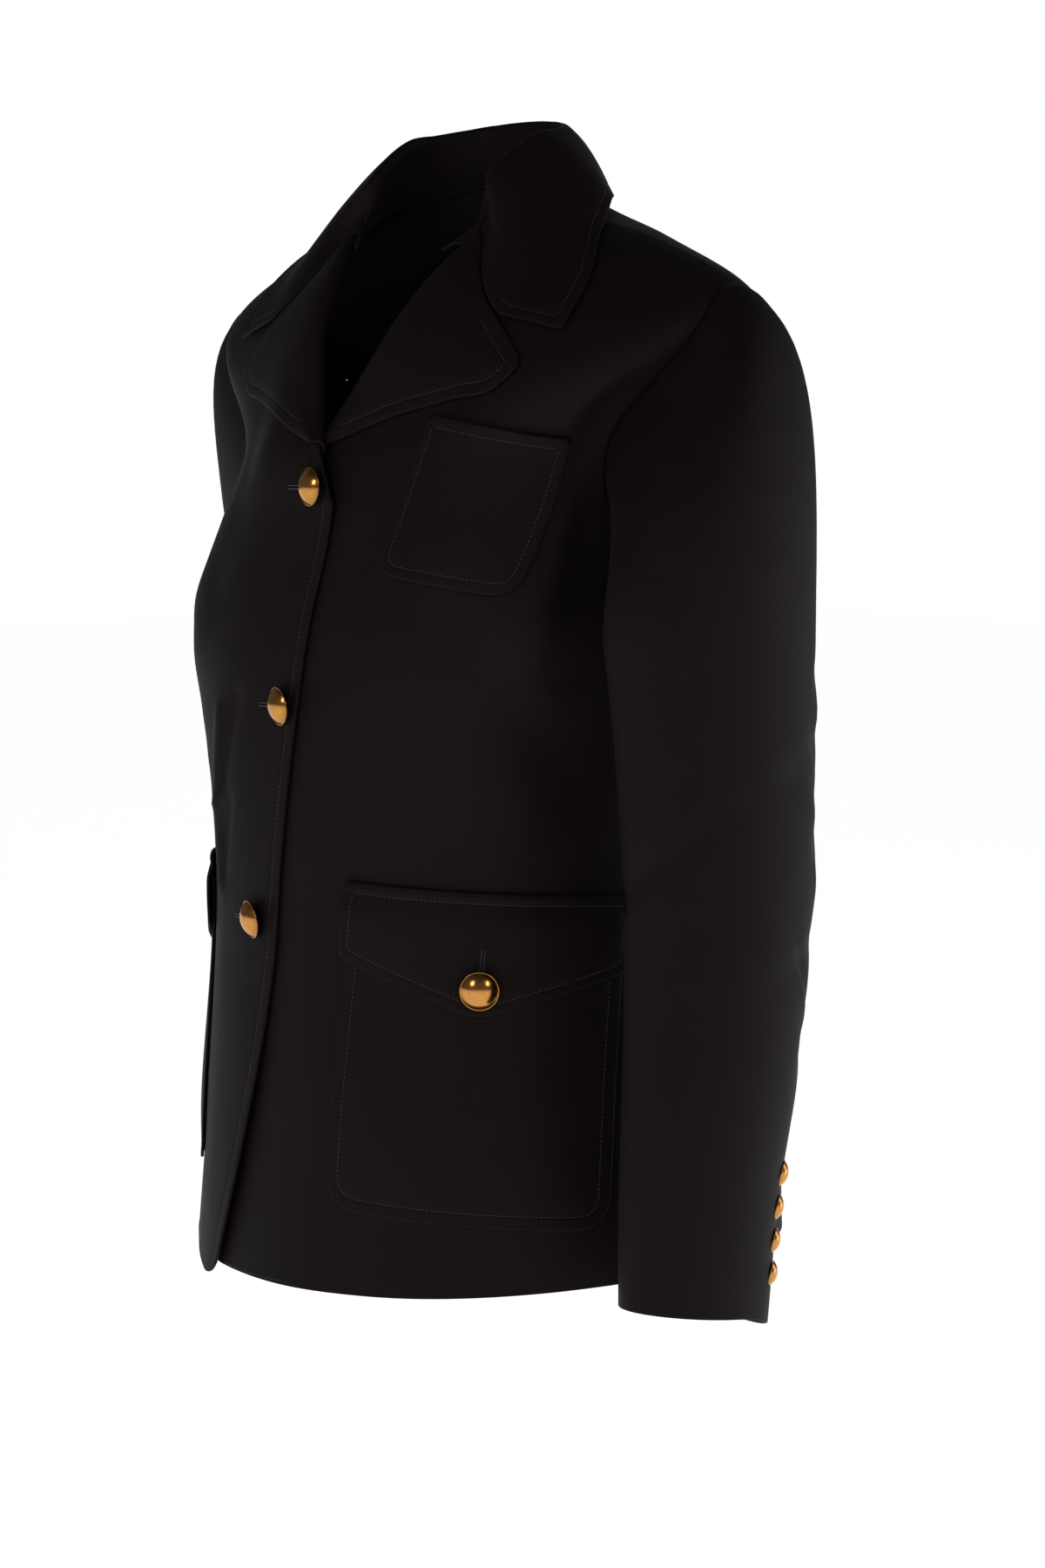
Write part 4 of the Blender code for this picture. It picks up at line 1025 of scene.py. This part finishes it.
def make_lapel(side):
    """The facing that shows: it wraps the roll line and lies over the front."""
    start_z = LAPEL_START[side]
    line, _, off = roll_line(start_z, ROLL_TOP, 60)
    roll = line - off * FOLD_BACK
    gorge = along([(p.x, p.z) for p in GORGE], np.linspace(0.02, NOTCH_SHARE, 30)) + GORGE_GAP
    free = along([(p.x, p.z) for p in LAPEL_EDGE[:-1]], np.linspace(1.0, 0.02, 120))
    outline = even_line(np.concatenate((roll, gorge, free))[::-1], 0.0017)

    def place(flat, edge):
        foot, away, far = roll_frame(flat, start_z)
        angle = np.pi / 2 + (FOLD_RADIUS - far) / FOLD_RADIUS
        wrapped = far < FOLD_RADIUS
        d = np.where(wrapped, FOLD_RADIUS + FOLD_RADIUS * np.cos(angle), far)
        n = np.where(wrapped, -WALL / 2 + FOLD_RADIUS * np.sin(angle), -WALL / 2 + FOLD_RADIUS)
        spread = np.clip((far - FOLD_RADIUS) / (far - FOLD_RADIUS + edge + 1e-6), 0.0, 1.0)
        n = n + np.where(wrapped, 0.0, 0.0016 * np.sin(np.pi * spread))
        spot = foot + away * d[:, None]
        turn, level = place_front(np.maximum(spot[:, 0], -0.03), spot[:, 1])
        return on_front(side, turn, level, n)[0]

    def is_free(flat):
        return (flat[:, 1] < NOTCH_Z - 0.0075) & (roll_frame(flat, start_z)[2] > 0.010)

    piece = make_patch(f"lapel_{side}_cloth", outline, place, WALL / 2, SIGN[side],
                       [(STITCH_IN, is_free)])
    declare(piece, "lapel_" + side)


# ---- pockets and flaps
def pocket_outline(size):
    corners = [(0.0, 0.0), (0.0, size.tall), (size.wide, size.tall), (size.wide, 0.0)]
    radii = [0.0025, size.radius, size.radius, 0.0025]
    return on_pocket(size, rounded(corners, radii, 0.0022))


def on_pocket(size, line):
    """From across and down on a pocket to distance along the cloth and height."""
    across, down = line.T
    flare = size.flare * down / size.tall * (across / size.wide - 0.5)
    distance = size.inner - size.lean * down + flare + across
    return np.stack((distance, size.top - down - size.tilt * across), axis=-1)


def down_on(size, flat):
    """How far down a pocket or flap flat points lie."""
    distance, height = flat.T
    down = size.top - height
    for _ in range(4):
        down = size.top - height - size.tilt * (distance - size.inner + size.lean * down)
    return down


def make_pocket(name, node_name, side, size, inset, middle, half):
    def place(flat, edge):
        turn, level = place_patch(*flat.T)
        top_puff = 0.0006 * smoothstep(0.012, 0.0, down_on(size, flat))
        puff = 0.0007 * smoothstep(0.004, 0.030, edge) + top_puff
        return on_front(side, turn, level, middle + puff)[0]

    below_top = (inset, lambda flat: down_on(size, flat) > 0.0)
    piece = make_patch(name, pocket_outline(size), place, half, SIGN[side], [below_top])
    declare(piece, node_name)


def make_flap(side):
    size = LOWER_FLAP
    corners = [(0.0, 0.0), (0.0, size.tall), (size.wide / 2, size.tall + FLAP_POINT),
               (size.wide, size.tall), (size.wide, 0.0)]
    outline = on_pocket(size, rounded(corners, [0.003, 0.004, 0.010, 0.004, 0.003], 0.0020))

    def place(flat, edge):
        down = down_on(size, flat)
        across = (flat[:, 0] - size.inner) / size.wide
        tall = size.tall + FLAP_POINT * (1 - abs(2 * across - 1))
        share = np.clip(down / tall, 0.0, 1.0)
        height = 0.0015 + 0.0023 * smoothstep(0.004, 0.018, down) + 0.0010 * np.sin(np.pi * share)
        height = height + 0.0008 * np.exp(-((down - 0.0035) / 0.0022) ** 2)
        tip = np.exp(-((across - 0.5) / 0.16) ** 2) * smoothstep(0.030, 0.070, down)
        turn, level = place_patch(*flat.T)
        return on_front(side, turn, level, height + 0.0012 * tip)[0]

    sewn = [(RIM[8], lambda flat: down_on(size, flat) > -1.0)]
    piece = make_patch(f"flap_{side}_cloth", outline, place, WALL / 2, SIGN[side], sewn)
    declare(piece, "flap_" + side)


# ---- sleeves
ARMHOLE_SEWN = 0.0013     # how deep the armhole's sewing lies below the cloth's face
ARMHOLE_CORD = 0.0009     # radius of that sewing
LEAVE_OUT, LEAVE_DOWN, LEAVE_ROUND = 0.71, 0.56, 0.40    # the way a sleeve leaves the armhole
CAP_ROPE = 0.0016         # height of the ridge beside the armhole seam
AROUND_STEP = 1.5         # degrees between the lines of a sleeve's grid
LOOSE_FOLDS = table_of(
    Fold, (-0.262, 52.0, 0.0012, 0.0100, 12.0, 0.00060), (-0.285, 50.0, -0.0009, 0.0090, 12.0, 0.00080),
    (-0.305, 47.0, 0.0014, 0.0100, 12.0, -0.00080), (-0.352, 49.0, 0.0014, 0.0120, 12.0, 0.00080),
    (-0.378, 52.0, -0.0008, 0.0100, 12.0, -0.00080), (-0.426, 36.0, 0.0019, 0.0065, 15.0, -0.00120),
    (-0.439, 40.0, -0.0011, 0.0065, 14.0, -0.00120), (-0.470, 52.0, 0.0012, 0.0120, 12.0, 0.00060),
    (-0.205, 300.0, 0.0009, 0.0160, 30.0, -0.00090), (-0.330, 80.0, 0.0012, 0.0140, 22.0, 0.00080),
    (-0.400, 190.0, 0.0016, 0.0100, 50.0, 0.00040), (-0.440, 120.0, 0.0012, 0.0100, 26.0, -0.00080),
)


def folds_at(table, around, z):
    total = np.zeros(np.broadcast(around, z).shape)
    for fold in table:
        off = (around - fold.around + 180) % 360 - 180
        height = (z - fold.z - fold.slope * off) / fold.tall
        total += fold.depth * np.exp(-height ** 2) * np.exp(-(off / fold.wide) ** 2)
    return total


def sleeve_ring(side, around, z):
    """Points of the hanging part of a sleeve; around 0 is outward and 90 is back."""
    sign = SIGN[side]
    around, z = spread(around, z)
    read = {name: smooth(ARM[::-1], name, z) for name in Arm._fields[1:]}
    angle = np.radians(around)
    dent = folds_at(SLEEVE_FOLDS, around, z)
    x = read["x"] + (read["half_wide"] - dent) * np.cos(angle)
    y = read["y_" + side] + (read["half_deep"] - dent) * np.sin(angle)
    low_back = 0.0085 * np.maximum(np.sin(angle), 0.0) ** 2
    drop = (0.0015 - 0.0070 * np.sin(angle) - low_back) * smoothstep(-0.50, -0.613, z)
    return stack(sign * x, y, z + drop)


def armhole_loop(side, around, deep=0.0):
    """Armhole edge for each place round the sleeve, or the line this deep below it."""
    sign = SIGN[side]
    share = np.abs((around + 180) % 360 - 180) / 180
    angle = np.pi * (1 - share)
    level = (SHOULDER + UNDERARM) / 2 - (SHOULDER - UNDERARM) / 2 * np.cos(angle)
    back = np.where((around % 360 > 0) & (around % 360 < 180), 1.0, -1.0)
    turn = 90 + back * ARMHOLE_TURN * np.sin(angle)
    points = form(turn, level)
    normals = form_normal(turn, level)
    ahead = np.roll(points, -1, axis=0) - np.roll(points, 1, axis=0)
    inward = unit(np.cross(ahead, normals))
    inward *= np.sign(np.sum(inward * (points.mean(axis=0) - points), axis=-1))[:, None]
    lift = relief(sign * turn, level)[:, None] - deep
    return pose((points + normals * lift + inward * SEAM_GAP) * np.array((sign, 1.0, 1.0)))


def sew_armhole(side, around):
    """The cord of thread that holds a sleeve in, deep in the armhole seam."""
    centre = armhole_loop(side, around, ARMHOLE_SEWN)
    facing = unit(armhole_loop(side, around) - centre)
    ahead = np.roll(centre, -1, axis=0) - np.roll(centre, 1, axis=0)
    across = unit(np.cross(ahead, facing))
    angles = np.radians(np.arange(0.0, 360.0, 45.0))[:, None, None]
    rings = centre + ARMHOLE_CORD * (facing * np.cos(angles) + across * np.sin(angles))
    index = np.arange(rings.shape[0] * rings.shape[1]).reshape(rings.shape[:2])
    beside = np.roll(index, -1, axis=0)
    faces = np.stack((index, beside, np.roll(beside, -1, axis=1), np.roll(index, -1, axis=1)), axis=-1)
    piece = make_object(f"stitches_armhole_{side}", rings.reshape(-1, 3),
                        faces.reshape(-1, 4).tolist(), cloth)


def make_sleeve(side):
    """Top sleeve and under sleeve: cap from the armhole, then the hanging arm."""
    sign = SIGN[side]
    around = np.arange(0.0, 360.0, AROUND_STEP)
    sew_armhole(side, around)
    edge = armhole_loop(side, around)
    top = sleeve_ring(side, around, ARM[0].z)
    radial = unit(edge - edge.mean(axis=0))
    leave = unit(np.array((sign * LEAVE_OUT, 0.0, -LEAVE_DOWN)) + radial * LEAVE_ROUND)
    reach = np.linalg.norm(top - edge, axis=-1)[:, None]
    first = edge + leave * (0.010 + 0.20 * reach)
    second = top + np.array((0.0, 0.0, 1.0)) * 0.42 * reach
    rings = [bend(edge, first, second, top, t) for t in np.linspace(0.0, 1.0, 60)[:-1]]
    rings += [sleeve_ring(side, around, z) for z in np.linspace(ARM[0].z, ARM[-1].z, 170)]
    rings = np.array(rings)
    wrapped = np.concatenate((rings[:, -1:], rings, rings[:, :1]), axis=1)
    normals = unit(np.cross(np.gradient(wrapped, axis=1), np.gradient(wrapped, axis=0))[:, 1:-1])
    centre = rings.mean(axis=1, keepdims=True)
    normals *= np.sign(np.sum(normals * (rings - centre), axis=-1).mean())
    run, _ = runs(rings, 0)
    fold = folds_at(LOOSE_FOLDS, around[None, :], rings[..., 2]) * smoothstep(0.004, 0.05, run)
    cap = np.clip(np.cos(np.radians(around)), 0.0, 1.0)[None, :]
    rope = CAP_ROPE * np.exp(-((run - 0.008) / 0.006) ** 2) * cap
    rings = rings + normals * (rope - fold)[..., None]
    grid = np.concatenate((rings, normals), axis=-1)
    seam_back, seam_front = int(BACK_SEAM / AROUND_STEP), int(FRONT_SEAM / AROUND_STEP)
    spans = {"top": range(seam_front, len(around) + seam_back + 1),
             "under": range(seam_back, seam_front + 1)}
    for part, span in spans.items():
        half = grid[:, [i % len(around) for i in span]].copy()
        for end, beside in ((0, 1), (-1, -2)):
            half[:, end, :3] += unit(half[:, beside, :3] - half[:, end, :3]) * SEAM_GAP / 2
        piece, _ = make_sheet(f"sleeve_{side}_{part}_cloth", half, (SEAM, RIM, SEAM, SEAM))
        declare(piece, f"sleeve_{side}_{part}")


# ---- buttons and buttonholes
# the sizes of its parts are shares of its radius
DOME_WIDE = 0.95
DOME_BASE = 0.07         # above the lower face of the back plate
PLATE_THICK = 0.08
RIM_ROLL = 0.035
SHANK_WIDE = 0.17
SHANK_WIRE = 0.055
SHANK_SUNK = 0.10        # the middle of the wire ring below the back plate
SHANK_FACETS = 12
BUTTON_FACETS = 64
DOME_SPREAD = math.radians(52.0)  # from the top of a button's dome to its edge
FRONT_STANDING = 0.0025  # from the cloth to the back plate
FLAP_STANDING = 0.0030
CUFF_STANDING = 0.0009
CUFF_BUTTON_SUNK = 0.0014
BESIDE = 11.0            # degrees round the sleeve to the points that show its way there
CUFF_BUTTON_SHOWN = CUFF_BUTTON_AROUND - 4.0  # where the photo shows them round the sleeve


def make_button(name, diameter, standing, foot, facing, droop, aside=0.0):
    """A domed button on a back plate with a rolled rim and a wire shank, set on the cloth."""
    radius = diameter / 2
    ball = radius * DOME_WIDE / math.sin(DOME_SPREAD)
    low = ball * math.cos(DOME_SPREAD)
    bpy.ops.mesh.primitive_uv_sphere_add(segments=BUTTON_FACETS, ring_count=80, radius=ball)
    dome = bpy.context.object
    bpy.ops.object.mode_set(mode="EDIT")
    bpy.ops.mesh.select_all(action="SELECT")
    bpy.ops.mesh.bisect(plane_co=(0, 0, low), plane_no=(0, 0, 1), clear_inner=True, use_fill=True)
    bpy.ops.mesh.select_all(action="SELECT")
    bpy.ops.transform.translate(value=(0, 0, standing + radius * DOME_BASE - low))
    bpy.ops.object.mode_set(mode="OBJECT")
    thick = radius * PLATE_THICK
    bpy.ops.mesh.primitive_cylinder_add(vertices=BUTTON_FACETS, radius=radius, depth=thick,
                                        location=(0, 0, standing + thick / 2))
    plate = bpy.context.object
    bevel = plate.modifiers.new("rolled rim", "BEVEL")
    bevel.width = radius * RIM_ROLL
    bevel.segments = 5
    bevel.limit_method = "ANGLE"
    bpy.ops.object.modifier_apply(modifier=bevel.name)
    bpy.ops.mesh.primitive_torus_add(major_radius=radius * SHANK_WIDE, minor_radius=radius * SHANK_WIRE,
                                     major_segments=32, minor_segments=SHANK_FACETS,
                                     location=(0, 0, standing - radius * SHANK_SUNK),
                                     rotation=(math.pi / 2, 0, 0))
    shank = bpy.context.object
    for piece in (dome, plate, shank):
        piece.select_set(True)
    bpy.context.view_layer.objects.active = dome
    bpy.ops.object.join()
    bpy.ops.object.transform_apply(location=True, rotation=True, scale=True)
    mesh = dome.data
    # rim holds painted shade: darker on the back plate's outer ring round the dome's foot, and toward
    # the dome's edge
    rim = mesh.attributes.new("rim", "FLOAT", "POINT")
    for vertex in mesh.vertices:
        x, y, z = vertex.co
        share = math.hypot(x, y) / radius
        low = z < standing + radius * 0.11
        rim.data[vertex.index].value = min(1.0, max(0.0, (share - 0.90) / 0.06)) * 0.45 if low else \
            0.30 * max(0.0, (share - 0.72) / 0.24)
    way = mathutils.Vector(facing)
    way.z -= droop
    way.x -= aside
    way.normalize()
    turned = way.to_track_quat("Z", "Y").to_matrix().to_4x4()
    mesh.transform(mathutils.Matrix.Translation(mathutils.Vector(foot)) @ turned)
    mesh.materials.clear()
    mesh.materials.append(brass)
    mesh.shade_smooth()
    mesh.set_sharp_from_angle(angle=math.radians(40))
    dome.name = name + "_metal"
    mesh.name = dome.name
    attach(dome, "root")
    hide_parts(name)


HOLE_ROW = (0.00036, 0.0014)     # where a buttonhole's stitches start and end beside its slit
HOLE_PITCH = 0.00050
HOLE_THREAD = (0.00052, 0.00055)    # its width and height


def sew_buttonhole(side, ends, height, spot):
    """Two close rows of stitches either side of a slit; spot turns flat points to turn, level."""
    start, end = (np.array(p, float) for p in ends)
    long = np.linalg.norm(end - start)
    way = (end - start) / long
    off = np.array((-way[1], way[0]))
    for s in np.arange(0.0, long, HOLE_PITCH):
        for hand in (-1, 1):
            flat = np.array([start + way * s + off * hand * near for near in HOLE_ROW])
            turn, level = spot(flat)
            points, normals = on_front(side, turn, level, height)
            add_stitch(points[0], points[1], normals[0], *HOLE_THREAD)


def make_front_buttons():
    for name, x, z in zip(("top", "middle", "low"), BUTTON_ACROSS, BUTTON_HEIGHTS):
        turn, level = place_front(x, z)
        foot, facing = on_front("right", turn, level, 0.0003)
        make_button("button_" + name, LARGE_BUTTON, FRONT_STANDING, foot, facing, droop=0.20, aside=0.20)
        sew_buttonhole("right", ((x, z), (x + 0.0225, z - 0.0008)), 0.0004,
                       lambda flat: place_front(*flat.T))


def make_flap_button(side):
    size = LOWER_FLAP
    distance = size.inner + size.wide / 2
    tip = size.top - size.tilt * size.wide / 2 - size.tall - FLAP_POINT
    turn, level = place_patch(np.array([distance]), np.array([tip + 0.017]))
    foot, facing = on_front(side, turn, level, 0.0062)
    make_button("button_flap_" + side, LARGE_BUTTON, FLAP_STANDING, foot[0], facing[0], droop=0.16)
    sew_buttonhole(side, ((distance, tip + 0.017), (distance, tip + 0.0405)), 0.0060,
                   lambda flat: place_patch(*flat.T))


def make_cuff_buttons(side):
    for number, z in enumerate(CUFF_BUTTON_HEIGHTS, start=1):
        foot = sleeve_ring(side, CUFF_BUTTON_SHOWN, z)
        beside = sleeve_ring(side, np.array((-BESIDE, BESIDE)) + CUFF_BUTTON_SHOWN, z)
        facing = unit(np.cross(beside[1] - beside[0], (0, 0, 1.0)))
        centre = np.array((0.23 * np.sign(foot[0]), foot[1] - 0.03, foot[2]))
        facing *= np.sign(np.dot(facing, foot - centre))
        make_button(f"button_cuff_{side}_{number}", SMALL_BUTTON, CUFF_STANDING,
                    foot - facing * CUFF_BUTTON_SUNK, facing, droop=0.22)


# ---- camera, floor and light: the camera comes first
LIT = (0.0, 0.0, -0.32)  # the point that every lamp looks at
SEEN_FROM = 46.0         # the camera's angle round the object, from the front to the left


def stand_at(thing, azimuth, elevation, far, aim):
    """Put the camera or a lamp this far from a point, at these angles, looking at it."""
    a, e = math.radians(azimuth), math.radians(elevation)
    back = mathutils.Vector((math.sin(a) * math.cos(e), -math.cos(a) * math.cos(e), math.sin(e)))
    thing.location = mathutils.Vector(aim) + back * far
    thing.rotation_mode = "QUATERNION"
    thing.rotation_quaternion = back.to_track_quat("Z", "Y")
    bpy.context.scene.collection.objects.link(thing)


def make_camera():
    azimuth, aside = math.radians(SEEN_FROM), 0.025
    data = bpy.data.cameras.new("camera")
    data.lens = 88.3
    data.sensor_fit = "AUTO"
    data.sensor_width = 36.0
    camera = bpy.data.objects.new("camera", data)
    stand_at(camera, SEEN_FROM, 6.5, 2.3,
             (aside * math.cos(azimuth), aside * math.sin(azimuth), -0.3425))
    bpy.context.scene.camera = camera


def add_light(name, azimuth, elevation, far, wide, tall, watts):
    """A soft light round the object, which looks at its middle."""
    data = bpy.data.lights.new(name, "AREA")
    data.shape = "RECTANGLE"
    data.size = wide
    data.size_y = tall
    data.energy = watts
    stand_at(bpy.data.objects.new(name, data), azimuth, elevation, far, LIT)


FLOOR = -0.86
TO_CAMERA = (math.sin(math.radians(SEEN_FROM)), -math.cos(math.radians(SEEN_FROM)), 0.06)


def make_world():
    """A white studio round the object, dimmer overhead and where the photographer stands."""
    world = bpy.data.worlds.new("studio")
    world.use_nodes = True
    tree = world.node_tree
    ground = tree.nodes["Background"]
    place = node(tree, "TexCoord", (-900, 0))
    toward = node(tree, "VectorMath", (-700, 100), operation="DOT_PRODUCT")
    toward.inputs[1].default_value = TO_CAMERA
    wire(tree, (place, "Generated", toward, 0))
    front = node(tree, "MapRange", (-500, 100), interpolation_type="SMOOTHSTEP",
                 **{"From Min": -0.965, "From Max": -0.925, "To Min": 1.0, "To Max": 0.12})
    wire(tree, (toward, "Value", front, "Value"))
    parts = node(tree, "SeparateXYZ", (-700, -150))
    wire(tree, (place, "Generated", parts, 0))
    over = node(tree, "MapRange", (-500, -150), interpolation_type="SMOOTHSTEP",
                **{"From Min": 0.42, "From Max": 0.85, "To Min": 1.0, "To Max": 0.38})
    wire(tree, (parts, "Z", over, "Value"))
    both = node(tree, "Math", (-250, 0), operation="MULTIPLY")
    wire(tree, (front, 0, both, 0), (over, 0, both, 1), (both, 0, ground, "Strength"))
    ground.inputs["Color"].default_value = (1.0, 1.0, 1.0, 1.0)
    bpy.context.scene.world = world


def make_stage():
    """A pale floor, a pale world and large soft lights."""
    bpy.ops.mesh.primitive_plane_add(size=14.0, location=(0, 0, FLOOR))
    floor = bpy.context.object
    floor.name = "floor"
    paint, tree, shader = new_material("pale floor", Roughness=0.8, Emission_Strength=0.90,
                                       Emission_Color=(1.0, 1.0, 1.0, 1.0))
    place = node(tree, "TexCoord", (-600, 0))
    noise = node(tree, "TexNoise", (-400, 0), Scale=3.0, Detail=2.0)
    tint = node(tree, "MixRGB", (-200, 0), Color1=(0.90, 0.90, 0.90, 1),
                Color2=(0.94, 0.94, 0.94, 1))
    wire(tree, (place, "Object", noise, "Vector"), (noise, "Fac", tint, "Fac"),
         (tint, 0, shader, "Base Color"))
    floor.data.materials.append(paint)
    make_world()
    bpy.context.scene.view_settings.view_transform = "Standard"
    add_light("side_right", SEEN_FROM + 102, 8, 1.9, 0.7, 2.0, 9)
    add_light("key_left", SEEN_FROM - 38, 24, 2.4, 0.46, 0.66, 6.5)
    add_light("key_right", SEEN_FROM + 38, 24, 2.4, 0.46, 0.66, 6)


make_camera()
make_stage()
for wearer_side in ("left", "right"):
    make_front(wearer_side)
    finish_stitches(f"stitches_front_{wearer_side}")
    make_back(wearer_side)
    make_lapel(wearer_side)
    finish_stitches(f"stitches_lapel_{wearer_side}")
    make_pocket(f"pocket_{wearer_side}_cloth", "pocket_" + wearer_side, wearer_side,
                LOWER_POCKET, RIM[10], 0.0012, 0.0010)
    make_flap(wearer_side)
    make_flap_button(wearer_side)
    finish_stitches(f"stitches_pocket_{wearer_side}")
    make_sleeve(wearer_side)
    make_cuff_buttons(wearer_side)
make_pocket("pocket_breast_cloth", "pocket_breast", "left", BREAST_POCKET, RIM[8], 0.0026, 0.0010)
finish_stitches("stitches_pocket_breast")
make_collar()
finish_stitches("stitches_collar")
make_front_buttons()
finish_stitches("stitches_buttonholes")
